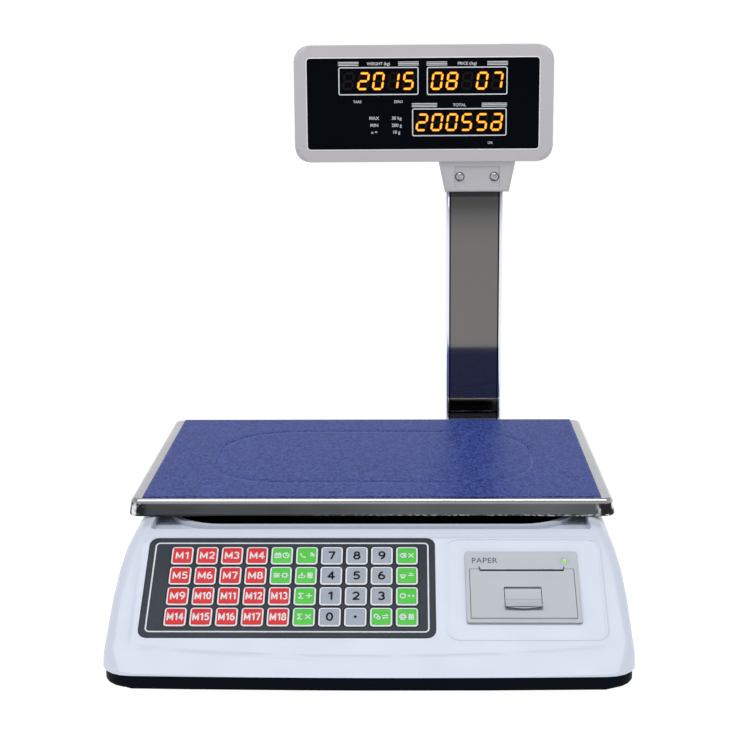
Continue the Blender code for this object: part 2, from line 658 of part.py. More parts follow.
def make_printer():
    """Everything in the printer."""
    idler, platen_phase, idler_phase, motor_phase = gear_places()
    make_printer_frame()
    lid_axis = axis_empty("printer_lid_axis", across_point(LID_HINGE))
    make_printer_lid(lid_axis)
    piece("lid_hinge_pin", turned(((0.9, -36.0), (0.9, 36.0)), LID_HINGE, ACROSS, 12), "steel")
    make_release_lever(axis_empty("release_lever_axis", across_point(LEVER_PIVOT)))

    platen_axis = axis_empty("platen_axis", across_point(PLATEN))
    shaft = turned(((1.5, -32.8), (1.5, 34.6)), PLATEN, ACROSS, 16)
    piece("platen_shaft", shaft, "steel", platen_axis)
    sleeve = tube(circle(PLATEN, PLATEN_RADIUS, 32), circle(PLATEN, 1.55, 32), -28.5, 28.5, ACROSS)
    piece("platen_roller", sleeve, "rubber", platen_axis)
    gear = gear_outline(PLATEN, PLATEN_TEETH, platen_phase)
    bore = circle(PLATEN, 1.55, len(gear))
    aligned = bore[round(platen_phase / (2 * pi) * len(gear)) % len(gear):]
    aligned += bore[:len(gear) - len(aligned)]
    piece("platen_gear", tube(gear, aligned, *GEAR_SPAN, ACROSS), "nylon", platen_axis, 20)

    idler_axis = axis_empty("idler_axis", across_point(idler))
    piece("idler_gear", prism(gear_outline(idler, IDLER_TEETH, idler_phase), *GEAR_SPAN, ACROSS), "nylon",
          idler_axis, 20)
    motor_axis = axis_empty("motor_axis", across_point(MOTOR))
    piece("motor_gear", prism(gear_outline(MOTOR, MOTOR_TEETH, motor_phase), *GEAR_SPAN, ACROSS), "nylon",
          motor_axis, 20)
    motor = turned(((4.6, 8), (4.6, 30), (1.0, 30), (1.0, GEAR_SPAN[0] - GAP)), MOTOR, ACROSS, 24)
    piece("stepper_motor", motor, "steel")

    head = prism(between(82.7, 86.4, -13.0, -3.6), -25, 25, ACROSS)
    piece("print_head", head, "aluminium")
    bar = prism(between(82.9, 83.3, -2.3, 2.2), GAP - SLOT_HALF, SLOT_HALF - GAP, ACROSS)
    piece("tear_bar", bar, "steel")
    roll_axis = axis_empty("paper_roll_axis", across_point(ROLL))
    roll = tube(circle(ROLL, ROLL_RADIUS, 40), circle(ROLL, 6, 40), -28.5, 28.5, ACROSS)
    piece("paper_roll", roll, "paper", roll_axis)
    led = turned(((1.5, -2.2), (1.5, 2.0), (0.9, 2.7)), (PRINTER_X + 29.3, 89.9), DECK, 16)
    piece("status_led", led, "green_led")


# ---------------------------------------------------------------- pole and display head

def make_pole():
    """Stainless tube in a socket bracket on the rear wall, held by two screws."""
    centre = (POLE_X, POLE_Y)
    outer = rectangle(centre, POLE_SIZE, 2.5, 3)
    inner = rectangle(centre, (POLE_SIZE[0] - 2 * POLE_WALL, POLE_SIZE[1] - 2 * POLE_WALL), 1.3, 3)
    pole = piece("pole", tube(outer, inner, POLE_FOOT_Z, POLE_TOP_Z), "stainless")
    cable_hole = turned(((5.0, -22), (5.0, 2)), (-POLE_X, CABLE_Z), REAR, 16)
    cut(pole, cable_hole.copy(), turned(((5.0, 0), (5.0, 12)), (-POLE_X, CABLE_Z), REAR, 16))
    socket_outer = rectangle(centre, (POLE_SIZE[0] + 5.4, POLE_SIZE[1] + 5.4), 4, 3)
    socket_inner = rectangle(centre, (POLE_SIZE[0] + 2 * GAP, POLE_SIZE[1] + 2 * GAP), 2.8, 3)
    bracket = piece("pole_bracket", tube(socket_outer, socket_inner, POLE_FOOT_Z - 2, 62), "black_paint")
    add(bracket, prism(between(-POLE_X - 42, -POLE_X + 42, 22, 58, 3, 2), GAP, 3.6, REAR))
    cut(bracket, prism(between(POLE_X - 24, POLE_X + 24, POLE_Y - 12.2, POLE_Y + 12.2), 5, 70), cable_hole,
        turned(((5.0, -1), (5.0, 8)), (-POLE_X, CABLE_Z), REAR, 16))
    back = POLE_Y + POLE_SIZE[1] / 2
    shank = ((2.0, back - 4 - BASE_REAR_Y), (2.0, back + 8 - BASE_REAR_Y))
    screws = [turned(shank, (-POLE_X + side * 13, 44), REAR, 12) for side in (-1, 1)]
    cut(bracket, *[screw.copy() for screw in screws])
    cut(pole, *screws)
    for name, side in (("left", 1), ("right", -1)):
        start = back - BASE_REAR_Y
        head = ((4.0, start + 3.1), (4.0, start + 4.2), (2.6, start + 5.4))
        profile = ((1.8, start - 3), (1.8, start + 3.1), *head)
        piece(f"pole_screw_{name}", turned(profile, (-POLE_X + side * 13, 44), REAR, 16), "steel")


def neck_outline():
    """Trapezoid under the head that takes the pole."""
    top, low = 33.0, 26.8
    return [(NECK_X - low, NECK_LOW_Z), (NECK_X + low, NECK_LOW_Z),
            (NECK_X + top, HEAD_LOW_Z + 4), (NECK_X - top, HEAD_LOW_Z + 4)]


def make_head_case(name, side, cuts):
    """Half of the head's case: side 1 faces the operator, side -1 the customer."""
    frame = HEAD if side > 0 else HEAD_BACK
    sign = 1 if side > 0 else -1

    def across(outline):
        return [(sign * u, v) for u, v in outline][::sign]

    half = HEAD_DEPTH / 2
    middle_z = (HEAD_LOW_Z + HEAD_TOP_Z) / 2
    size = (2 * HEAD_HALF_WIDTH, HEAD_TOP_Z - HEAD_LOW_Z)
    shell = prism(across(rectangle((HEAD_X, middle_z), size, HEAD_CORNER, 6)), 0.1, half, frame)
    face_y = (frame @ Vector((0, 0, half))).y
    shell = round_edges(shell, edge_at_y(face_y), 4.0, 3)
    case = piece(name, shell, "grey_plastic")
    neck = prism(across(neck_outline()), 0.1, half - 2.0, frame)
    face_y = (frame @ Vector((0, 0, half - 2.0))).y
    neck = round_edges(neck, edge_at_y(face_y), 2.0, 2)
    add(case, neck)
    inside = rectangle((HEAD_X, middle_z), (size[0] - 2 * WALL, size[1] - 2 * WALL), HEAD_CORNER - WALL, 5)
    cut(case, prism(across(inside), -1, half - 4.2, frame))
    sleeve = between(POLE_X - 24.3, POLE_X + 24.3, NECK_LOW_Z - 2, HEAD_LOW_Z + 10)
    cut(case, prism(across(sleeve), -1, 12.3, frame))
    window_centre = (HEAD_X - 0.6, middle_z + 0.1)
    window = rectangle(window_centre, (2 * WINDOW_HALF_WIDTH, 2 * WINDOW_HALF_HEIGHT), 3, 3)
    opening = rectangle(window_centre, (2 * WINDOW_HALF_WIDTH - 6, 2 * WINDOW_HALF_HEIGHT - 6), 2, 3)
    cut(case, prism(across(window), half - 2.6, half + 5, frame), prism(across(opening), 5, half + 5, frame))
    for outline, low, high in cuts:
        cut(case, prism(across(outline), low, high, frame))
    lens_size = (2 * WINDOW_HALF_WIDTH - 2 * GAP, 2 * WINDOW_HALF_HEIGHT - 2 * GAP)
    lens = rectangle(window_centre, lens_size, 2.7, 3)
    piece(name.replace("case", "window"), prism(across(lens), half - 2.3, half - 0.3, frame), "smoked_window")
    return case


def make_head():
    """Display head: two case halves with a window each, a board with LED modules on both faces, screws."""
    half = HEAD_DEPTH / 2
    panel = between(NECK_X - 19, NECK_X + 19, 290.0, 308.2, 1.5, 2)
    screw_places = [(NECK_X + side * 14.4, 299.4) for side in (-1, 1)]
    screw_holes = [(circle(place, 2.2, 12), 5, half + 5) for place in screw_places]
    front_cuts = [(panel, half - 2.9, half + 5), *screw_holes]
    make_head_case("head_front_case", 1, front_cuts)
    make_head_case("head_rear_case", -1, [])
    for name, place in zip(("left", "right"), screw_places):
        profile = ((1.8, 13.5), (1.8, half - 2.6), (3.6, half - 2.6), (3.6, half - 1.6), (2.2, half - 0.7))
        piece(f"neck_screw_{name}", turned(profile, place, HEAD, 16), "steel")
    middle_z = (HEAD_LOW_Z + HEAD_TOP_Z) / 2
    board = rectangle((HEAD_X, middle_z), (184, 68))
    piece("display_board", prism(board, -0.8, 0.8, HEAD), "circuit_board")
    for side, sign in (("front", 1), ("rear", -1)):
        frame = HEAD if sign > 0 else HEAD_BACK
        for name, (x, z, digits) in DIGIT_BOXES.items():
            place = (x, z) if sign > 0 else (x - 2 * HEAD_X, z)
            module = prism(rectangle(place, (digits * DIGIT_PITCH, 19.0)), 1.1, half - 4.8, frame)
            piece(f"{side}_{name}_digits", module, "led_module")


def make_display_cable():
    """Round cable from the display board down inside the pole and forward into the base."""
    top, low = HEAD_LOW_Z + 9.0, CABLE_Z
    bend = 14.0
    points = [(POLE_X - 6 * (1 + cos(pi * i / 8)), POLE_Y - 4.0, top - 6 * i) for i in range(9)]
    points += [(POLE_X, POLE_Y - 4.0, z) for z in (240, 200, 160, 120, 80, low + bend + 6)]
    points += [
        (POLE_X, POLE_Y - 4.0 - bend * (1 - cos(pi / 2 * i / 6)), low + bend - bend * sin(pi / 2 * i / 6))
        for i in range(7)
    ]
    points += [(POLE_X, BASE_REAR_Y - 8.0, low), (POLE_X, BASE_REAR_Y - 30.0, low)]
    curve = bpy.data.curves.new("display_cable", "CURVE")
    curve.dimensions = "3D"
    curve.bevel_depth = 2.2 * MM
    curve.bevel_resolution = 2
    curve.use_fill_caps = True
    spline = curve.splines.new("POLY")
    spline.points.add(len(points) - 1)
    for target, point in zip(spline.points, points):
        target.co = (*(Vector(point) * MM), 1)
    curve.materials.append(material_of("cable_grey"))
    cable = bpy.data.objects.new("display_cable", curve)
    bpy.context.scene.collection.objects.link(cable)


def main():
    for obj in list(bpy.data.objects):
        bpy.data.objects.remove(obj)
    make_top_housing()
    make_bottom_tray()
    make_feet()
    make_battery()
    make_electronics()
    make_load_path()
    make_support_pads()
    make_platter()
    make_keypad()
    make_level()
    make_mains_parts()
    make_printer()
    make_pole()
    make_head()
    make_display_cable()


main()
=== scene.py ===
# %% [markdown]
# # A label printing scale, dressed in Blender
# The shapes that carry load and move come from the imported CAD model. This script gives every one of them a
# finish, and puts detailed pieces over the plain ones: the pan and its blue film, the printed keypad, the
# printer's lever, and the two lit displays. Lengths below are millimetres until a mesh is made.

# %% Load the frame
import json
from math import cos, pi, radians, sin, tan

import bpy
import numpy as np
from mathutils import Matrix, Vector


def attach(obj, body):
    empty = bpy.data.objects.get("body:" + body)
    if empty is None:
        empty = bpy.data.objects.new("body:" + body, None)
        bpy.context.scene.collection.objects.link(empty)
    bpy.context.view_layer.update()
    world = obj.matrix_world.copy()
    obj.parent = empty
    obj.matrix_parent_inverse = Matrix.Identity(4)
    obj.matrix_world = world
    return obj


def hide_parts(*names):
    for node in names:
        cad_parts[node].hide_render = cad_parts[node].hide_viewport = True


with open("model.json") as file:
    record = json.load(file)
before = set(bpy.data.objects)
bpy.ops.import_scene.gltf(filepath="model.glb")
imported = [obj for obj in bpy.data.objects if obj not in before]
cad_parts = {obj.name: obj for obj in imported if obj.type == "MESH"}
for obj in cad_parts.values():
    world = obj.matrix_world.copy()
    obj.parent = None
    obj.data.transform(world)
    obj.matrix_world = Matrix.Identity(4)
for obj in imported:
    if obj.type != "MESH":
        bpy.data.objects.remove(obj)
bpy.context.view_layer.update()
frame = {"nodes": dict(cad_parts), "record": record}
NODES = frame["nodes"]

# %% [markdown]
# ## Working surfaces
# A scale is a few flat surfaces with things on them: a sloping deck, the front of a display head, the top of
# a pan. Each could be modelled lying flat and turned into place by its object, but a finished piece keeps its
# place in its mesh. So a surface here is an origin and three directions, and points drawn on it as right, up
# and out are turned into the scale's own frame before they go into the mesh.

# %% A surface, and where a CAD node lies on it
def surface(origin, right, up):
    """Origin in mm and the unit vectors right, up and out, where out is right crossed with up."""
    right, up = np.array(right, float), np.array(up, float)
    return np.array(origin, float), np.array([right, up, np.cross(right, up)])


def place(points, on):
    """Points (right, up, out) on a surface, in metres: the origin plus each number times its direction."""
    origin, axes = on
    return (origin + np.asarray(points, float) @ axes) / 1000


def extent(node, on):
    """Lowest and highest right, up and out of a CAD node's points on a surface, in mm."""
    mesh = NODES[node].data
    points = np.empty(3 * len(mesh.vertices), np.float32)
    mesh.vertices.foreach_get("co", points)
    origin, axes = on
    flat = (points.reshape(-1, 3) * 1000.0 - origin) @ axes.T
    return flat.min(0), flat.max(0)


DECK_SLOPE = radians(34)
deck_up = (0, cos(DECK_SLOPE), sin(DECK_SLOPE))
first_low, first_high = extent("keypad_overlay", surface((0, 0, 0), (1, 0, 0), deck_up))
OVERLAY_BELOW = 0.6
pad_middle = (first_low + first_high) / 2
pad_middle[2] = first_low[2] + OVERLAY_BELOW
DECK = surface(pad_middle @ surface((0, 0, 0), (1, 0, 0), deck_up)[1], (1, 0, 0), deck_up)
PAD_LOW, PAD_HIGH = extent("keypad_overlay", DECK)
print("keypad on the deck, mm:", PAD_LOW.round(2), PAD_HIGH.round(2))

# %% [markdown]
# ## The three mesh makers
# Most of the new pieces are rounded plates. Blender could bevel a cube for each, but then the size of the
# rounding depends on modifiers and order. Here a plate is a profile carried round a rounded rectangle: every
# ring of points is the same outline drawn a little smaller and a little higher, and quads join the rings. The
# arrays hold all points at once, so numpy does the work and the mesh gets it in one call.

# %% Outline, rings and mesh
def rounded(size, radius, centre=(0.0, 0.0), around=8):
    """Points counter-clockwise round a rectangle: each corner is a quarter circle of the radius."""
    radius = min(radius, min(size) / 2 - 1e-4)
    turn = np.linspace(0, pi / 2, around + 1)
    right, up = size[0] / 2 - radius, size[1] / 2 - radius
    starts = np.repeat(np.arange(4) * pi / 2, around + 1)
    angle = np.tile(turn, 4) + starts
    side_x = np.repeat([right, -right, -right, right], around + 1)
    side_y = np.repeat([up, up, -up, -up], around + 1)
    return np.column_stack([centre[0] + side_x + radius * np.cos(angle),
                            centre[1] + side_y + radius * np.sin(angle)])


def skin(rings, cap=True, loop=False):
    """Points and faces of quads between rings, with end caps or the last ring joined to the first."""
    count, around = rings.shape[:2]
    base = np.arange(count if loop else count - 1)[:, None] * around
    upper = (base + around) % (count * around)
    here = np.arange(around)[None]
    there = (here + 1) % around
    quads = np.stack([base + here, base + there, upper + there, upper + here], -1).reshape(-1, 4)
    faces = quads.tolist()
    if cap and not loop:
        faces += [list(range(around))[::-1], list(range((count - 1) * around, count * around))]
    return rings.reshape(-1, rings.shape[2]), faces


def gather(parts):
    """Several (points, faces) as one, with the later faces counted on from the earlier points."""
    starts = np.cumsum([0] + [len(points) for points, _ in parts])
    faces = [[index + int(start) for index in face]
             for start, (_, each) in zip(starts, parts) for face in each]
    return np.vstack([points for points, _ in parts]), faces


PIECES = {}


def make(name, shape, on, material, body="base", stands_for=(), smooth=True):
    """One finished piece: points drawn on a surface become a mesh in place, which rides on a body."""
    points, faces = shape
    mesh = bpy.data.meshes.new(name)
    mesh.from_pydata(place(points[:, :3], on).tolist(), [], faces)
    mesh.validate()
    mesh.polygons.foreach_set("use_smooth", [smooth] * len(mesh.polygons))
    mesh.materials.append(material)
    item = bpy.data.objects.new(name, mesh)
    bpy.context.scene.collection.objects.link(item)
    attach(item, body)
    if stands_for:
        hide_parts(*stands_for)
    PIECES[name] = item
    print(f"{name}: {len(mesh.polygons)} faces")
    return item


def plate(size, radius, profile, centre=(0.0, 0.0), around=8):
    """A closed plate: for each (inset, height) of the profile, the outline less the inset, at that height."""
    rings = [
        np.column_stack([outline, np.full(len(outline), height)])
        for inset, height in profile
        for outline in [rounded((size[0] - 2 * inset, size[1] - 2 * inset), max(radius - inset, 0.02),
                                centre, around)]
    ]
    return skin(np.array(rings))


def eased(low, high, radius, steps=4):
    """Profile of a plate from low to high whose upper edge is a quarter circle of the radius."""
    turn = np.linspace(0, pi / 2, steps + 1)
    arc = [(radius * (1 - cos(t)), high - radius * (1 - sin(t))) for t in turn]
    return [(0.0, low), *arc]


def trim(size, radius, width, low, high, centre=(0.0, 0.0), around=8):
    """A closed band of the width: a box-shaped profile carried round the outline and joined to itself."""
    rings = [
        np.column_stack([outline, np.full(len(outline), height)])
        for inset, height in ((0, low), (0, high), (width, high), (width, low))
        for outline in [rounded((size[0] - 2 * inset, size[1] - 2 * inset), max(radius - inset, 0.02),
                                centre, around)]
    ]
    return skin(np.array(rings), loop=True)


def stroke(start, end, width, low, high, steps=4):
    """A flat bar with round ends: half a circle about each end, joined and given a height."""
    start, end = np.array(start, float), np.array(end, float)
    along = (end - start) / max(np.linalg.norm(end - start), 1e-6)
    heading = np.arctan2(along[1], along[0])
    turn = np.linspace(-pi / 2, pi / 2, steps + 1)
    tips = [point + width / 2 * np.column_stack([np.cos(turn + a), np.sin(turn + a)])
            for point, a in ((end, heading), (start, heading + pi))]
    outline = np.vstack(tips)
    return skin(np.array([np.column_stack([outline, np.full(len(outline), h)]) for h in (low, high)]))


def line(points, width, low, high):
    """A polyline as one bar for each stretch."""
    return [stroke(a, b, width, low, high) for a, b in zip(points, points[1:])]


def ring(centre, radius, width, low, high, around=20):
    """A flat ring: a box-shaped profile carried round a circle."""
    return trim((2 * radius, 2 * radius), radius, width, low, high, centre, around // 4)


def disc(centre, radius, low, high, around=4):
    """A flat round spot."""
    return plate((2 * radius, 2 * radius), radius, [(0, low), (0, high)], centre, around)


# %% [markdown]
# ## Lettering
# The only words are figures, units and plain functions. Blender's text object makes them with its own
# typeface. The text is turned into a mesh while it still lies flat, and its points are then placed on a
# surface as any other part is, so nothing is left leaning on an object's rotation.

# %% Words as points and faces
def word(text, height, centre, low, high, bold=0.0, lean=0.0, spacing=1.0):
    """A word whose capitals have the height, middle at centre; lean adds right = up times its tangent."""
    curve = bpy.data.curves.new("word", "FONT")
    curve.body = text
    curve.resolution_u = 3
    curve.offset = bold
    curve.space_character = spacing
    curve.extrude = 0.5
    item = bpy.data.objects.new("word", curve)
    bpy.context.scene.collection.objects.link(item)
    flat = item.evaluated_get(bpy.context.evaluated_depsgraph_get()).to_mesh()
    points = np.empty(3 * len(flat.vertices), np.float32)
    flat.vertices.foreach_get("co", points)
    faces = [list(face.vertices) for face in flat.polygons]
    bpy.data.objects.remove(item)
    bpy.data.curves.remove(curve)
    points = points.reshape(-1, 3).astype(float)
    size = height / CAPITAL_SHARE
    middle = (points[:, 0].min() + points[:, 0].max()) / 2
    up = (points[:, 1] - CAPITAL_SHARE / 2) * size
    right = (points[:, 0] - middle) * size + up * tan(lean)
    out = np.where(points[:, 2] > 0, high, low)
    return np.column_stack([right + centre[0], up + centre[1], out]), faces


CAPITAL_SHARE = 0.729
capital = word("H", 1.0, (0, 0), 0, 1)[0]
CAPITAL_SHARE *= float(np.ptp(capital[:, 1]))
print("capital height over text size:", round(CAPITAL_SHARE, 3))

# %% [markdown]
# ## Figures drawn with a pen
# The typeface's bold figures clog when they are only 5 mm high. The keys carry figures and one letter, so
# those are drawn as a sign writer would, with a pen of even width: straight strokes, and arcs of an ellipse
# from one angle to another. A ribbon is the path moved half a pen to either side, and given a height.

# %% Pen strokes for figures and the letter M
def ribbon(points, width, low, high, closed=False):
    """Each point of the path plus and minus half the width along its normal, at both heights."""
    points = np.array(points, float)
    ahead, behind = np.roll(points, -1, 0), np.roll(points, 1, 0)
    if not closed:
        ahead[-1], behind[0] = points[-1], points[0]
    along = ahead - behind
    along /= np.linalg.norm(along, axis=1)[:, None]
    normal = np.column_stack([-along[:, 1], along[:, 0]]) * width / 2
    rings = [np.column_stack([points + side * normal, np.full(len(points), level)])
             for side, level in ((-1, low), (-1, high), (1, high), (1, low))]
    return skin(np.stack(rings, 1), loop=closed)


def arc(centre, radii, start, end, steps=14):
    """Points centre + (a cos t, b sin t) as t goes from start to end, in degrees."""
    turn = np.radians(np.linspace(start, end, steps + 1))
    return np.column_stack([centre[0] + radii[0] * np.cos(turn), centre[1] + radii[1] * np.sin(turn)])


GLYPHS = {
    "0": ([arc((.3, .5), (.24, .45), 0, 360, 20)], []),
    "1": ([], [[(.12, .78), (.34, .95), (.34, .05)]]),
    "2": ([arc((.3, .69), (.24, .26), 165, -35)], [[(.50, .54), (.08, .06), (.55, .06)]]),
    "3": ([arc((.28, .72), (.22, .23), 155, -85), arc((.28, .28), (.25, .24), 85, -155)], []),
    "4": ([], [[(.42, .04), (.42, .95), (.05, .30), (.58, .30)]]),
    "5": ([arc((.3, .32), (.25, .27), 130, -150)], [[(.52, .93), (.17, .93), (.12, .52)]]),
    "6": ([arc((.3, .3), (.24, .26), 0, 360, 18), arc((.44, .36), (.38, .59), 95, 186)], []),
    "7": ([], [[(.06, .93), (.54, .93), (.25, .04)]]),
    "8": ([arc((.3, .73), (.20, .21), 0, 360, 16), arc((.3, .28), (.25, .24), 0, 360, 18)], []),
    "9": ([arc((.3, .7), (.24, .26), 0, 360, 18), arc((.16, .64), (.38, .59), -85, 6)], []),
    "M": ([], [[(.08, .04), (.08, .95), (.42, .16), (.76, .95), (.76, .04)]]),
}
ADVANCE = {"M": 0.97, "1": 0.60}


def figure(text, height, centre, low, high, pen=0.155, across=1.0):
    """The text in pen strokes, middle at centre; pen is its width, and across a widening, over the height."""
    widths = [ADVANCE.get(letter, 0.74) for letter in text]
    parts, start = [], -(sum(widths) - 0.14) / 2
    for letter, width in zip(text, widths):
        arcs, lines = GLYPHS[letter]
        for path, straight in [(path, False) for path in arcs] + [(path, True) for path in lines]:
            path = np.array(path, float)
            spot = np.column_stack([centre[0] + (path[:, 0] + start) * height * across,
                                    centre[1] + (path[:, 1] - 0.5) * height])
            if straight:
                parts += line(spot, pen * height, low, high)
            else:
                whole = np.allclose(spot[0], spot[-1])
                parts.append(ribbon(spot[:-1] if whole else spot, pen * height, low, high, whole))
        start += width
    return gather(parts)


# %% [markdown]
# ## The stage
# A catalogue picture of a scale is taken on a white sheet under broad soft lights, so that nothing but the
# scale has an edge. An even white world would do that too, but it shows in every black surface as a grey
# veil. Here the world is white only near the horizon and greyer overhead, where one broad lamp hangs. The
# lamp lights the sloping deck, leaves the hollow under the pan in shade, and draws one bright line along the
# rolled edge of the pan. A weaker lamp in front opens the shadows.

# %% Camera, floor, world and lamps
CAMERA_PLACE = (0.0269, -1.1518, 0.4252)
CAMERA_TURN = radians(1.46)
CAMERA_PITCH = radians(12.42)
CAMERA_ROLL = radians(-0.46)
IMAGE_LONG_SIDE = 741
FOCAL_IN_IMAGE = 1573.8
SENSOR = 36.0
camera_data = bpy.data.cameras.new("camera")
camera_data.sensor_width = SENSOR
camera_data.lens = FOCAL_IN_IMAGE / IMAGE_LONG_SIDE * SENSOR
camera_data.clip_start, camera_data.clip_end = 0.05, 200
camera = bpy.data.objects.new("camera", camera_data)
camera.matrix_world = (Matrix.Translation(CAMERA_PLACE) @ Matrix.Rotation(CAMERA_TURN, 4, "Z")
                       @ Matrix.Rotation(pi / 2 - CAMERA_PITCH, 4, "X")
                       @ Matrix.Rotation(CAMERA_ROLL, 4, "Z"))
bpy.context.scene.collection.objects.link(camera)
bpy.context.scene.camera = camera
bpy.context.scene.view_settings.view_transform = "Standard"


def lamp(name, place_at, aim, size, power, colour=(1, 1, 1)):
    """A square soft lamp that faces a point."""
    data = bpy.data.lights.new(name, "AREA")
    data.shape = "RECTANGLE"
    data.size, data.size_y = size
    data.energy = power
    data.color = colour
    item = bpy.data.objects.new(name, data)
    item.location = place_at
    direction = np.array(aim, float) - np.array(place_at, float)
    item.rotation_euler = Vector(direction).to_track_quat("-Z", "Y").to_euler()
    bpy.context.scene.collection.objects.link(item)


lamp("front_lamp", (-0.8, -1.6, 1.9), (0, 0, 0.1), (1.4, 1.0), 4)
lamp("overhead_lamp", (0.0, -0.3, 1.7), (0, -0.05, 0.1), (1.8, 0.6), 15)
world = bpy.data.worlds.new("pale_room")
world.use_nodes = True
room = world.node_tree
height_of_view = room.nodes.new("ShaderNodeSeparateXYZ")
sky = room.nodes.new("ShaderNodeValToRGB")
room.links.new(room.nodes.new("ShaderNodeTexCoord").outputs["Generated"], height_of_view.inputs[0])
room.links.new(height_of_view.outputs["Z"], sky.inputs[0])
room.links.new(sky.outputs[0], room.nodes["Background"].inputs[0])
sky.color_ramp.elements[0].position, sky.color_ramp.elements[0].color = 0.06, (1.02, 1.02, 1.02, 1)
sky.color_ramp.elements[1].position, sky.color_ramp.elements[1].color = 0.9, (0.34, 0.35, 0.37, 1)
sky.color_ramp.elements.new(0.32).color = (0.78, 0.79, 0.81, 1)
sky.color_ramp.elements.new(0.55).color = (0.46, 0.47, 0.49, 1)
bpy.context.scene.world = world

# %% [markdown]
# ## Finishes
# Moulded plastic, pressed steel and printed film differ less in colour than in how their surface breaks up
# the light. One could paint that in a picture, but a recipe of noise keeps its detail at any distance. The
# first helper joins nodes by name. The second is the base of most finishes: a colour that drifts a little
# across the part, a roughness that varies like handled plastic, a fine grain as bump, and corners darkened
# as painted shade, speckled like dirt.

# %% Node helpers
def tone(red, green, blue):
    """A colour given as 0-255 display numbers, turned into the linear numbers a shader takes."""
    share = np.array([red, green, blue]) / 255
    return (*np.where(share <= 0.04045, share / 12.92, ((share + 0.055) / 1.055) ** 2.4), 1.0)


class Recipe:
    """A material being written: add() makes a node, joins what it is given and sets the rest."""

    def __init__(self, name):
        self.material = bpy.data.materials.new(name)
        self.material.use_nodes = True
        self.tree = self.material.node_tree
        self.shader = self.tree.nodes["Principled BSDF"]

    def set(self, node, **inputs):
        """Sets or joins a node's inputs, with _ in a name standing for a space."""
        for key, value in inputs.items():
            found = [s for s in node.inputs if s.name == key.replace("_", " ") and s.enabled]
            socket = found[0] if found else node.inputs[int(key[1:])]
            if isinstance(value, bpy.types.NodeSocket):
                self.tree.links.new(value, socket)
            else:
                socket.default_value = value
        return node

    def add(self, kind, settings=None, **inputs):
        """A node of that kind with its settings, and its inputs set or joined."""
        node = self.tree.nodes.new("ShaderNode" + kind)
        for key, value in (settings or {}).items():
            setattr(node, key, value)
        return self.set(node, **inputs)

    def times(self, one, other):
        """The product of two numbers."""
        return self.add("Math", {"operation": "MULTIPLY"}, i0=one, i1=other).outputs[0]

    def where(self, scale=(1, 1, 1)):
        """Object coordinates in metres, stretched by scale."""
        coordinates = self.add("TexCoord").outputs["Object"]
        return self.add("Mapping", Vector=coordinates, Scale=scale).outputs["Vector"]

    def noise(self, size_mm, detail=2.0, stretch=(1, 1, 1)):
        """Noise from 0 to 1 whose blobs are about size_mm across."""
        node = self.add("TexNoise", Vector=self.where(stretch), Scale=1000.0 / size_mm, Detail=detail)
        return node.outputs["Fac"]

    def between(self, value, low, high, start=0.0, end=1.0):
        """The value's stretch from start to end, mapped onto low to high."""
        return self.add("MapRange", i0=value, i1=start, i2=end, i3=low, i4=high).outputs[0]

    def blend(self, share, first, second, way="MIX"):
        """Two colours mixed by a share."""
        node = self.add("Mix", {"data_type": "RGBA", "blend_type": way})
        colours = [s for s in node.inputs if s.type == "RGBA"]
        for socket, value in ((node.inputs[0], share), (colours[0], first), (colours[1], second)):
            if isinstance(value, bpy.types.NodeSocket):
                self.tree.links.new(value, socket)
            else:
                socket.default_value = value
        return [s for s in node.outputs if s.type == "RGBA"][0]

    def bump(self, height, depth_mm, strength=1.0, after=None):
        """A normal tilted by the height's slope, as if it stood depth_mm high."""
        node = self.add("Bump", Height=height, Strength=strength, Distance=depth_mm / 1000)
        if after is not None:
            self.set(node, Normal=after)
        return node.outputs["Normal"]


def scaled(colour, share):
    """The colour made lighter or darker."""
    return (*[min(1.0, c * share) for c in colour[:3]], 1.0)


def dull(material, specular):
    """Sets how much light the surface of a finished material throws back unchanged."""
    material.node_tree.nodes["Principled BSDF"].inputs["Specular IOR Level"].default_value = specular


def moulded(name, colour, roughness=0.45, grain_mm=0.35, grain_depth=0.02, drift=0.04, coat=0.0,
            shade_and_dirt=0.35, metallic=0.0, specular=0.5, stretch=(1, 1, 1)):
    """Plastic or painted metal: colour drift, handled roughness, fine grain, painted shade in corners."""
    r = Recipe(name)
    patches = r.noise(60.0, 3.0)
    body = r.blend(patches, scaled(colour, 1 - drift), scaled(colour, 1 + drift))
    # Painted shade: corners and hollows found by ambient occlusion are darkened, speckled by noise like dirt.
    corner = r.add("AmbientOcclusion", {"samples": 6, "only_local": False}, Distance=0.006).outputs["AO"]
    hollow_shade = r.between(corner, shade_and_dirt, 0.0, 0.25, 0.85)
    speckled = r.times(hollow_shade, r.between(r.noise(9.0, 4.0), 0.5, 1.2))
    body = r.blend(speckled, body, scaled(colour, 0.42))
    fine = r.noise(grain_mm, 2.0, stretch)
    rough = r.between(r.noise(22.0, 5.0), roughness - 0.06, roughness + 0.08, 0.3, 0.7)
    r.set(r.shader, Base_Color=body, Roughness=rough, Normal=r.bump(fine, grain_depth, 0.5))
    r.shader.inputs["Metallic"].default_value = metallic
    r.shader.inputs["Coat Weight"].default_value = coat
    r.shader.inputs["Coat Roughness"].default_value = 0.12
    r.shader.inputs["Specular IOR Level"].default_value = specular
    return r.material


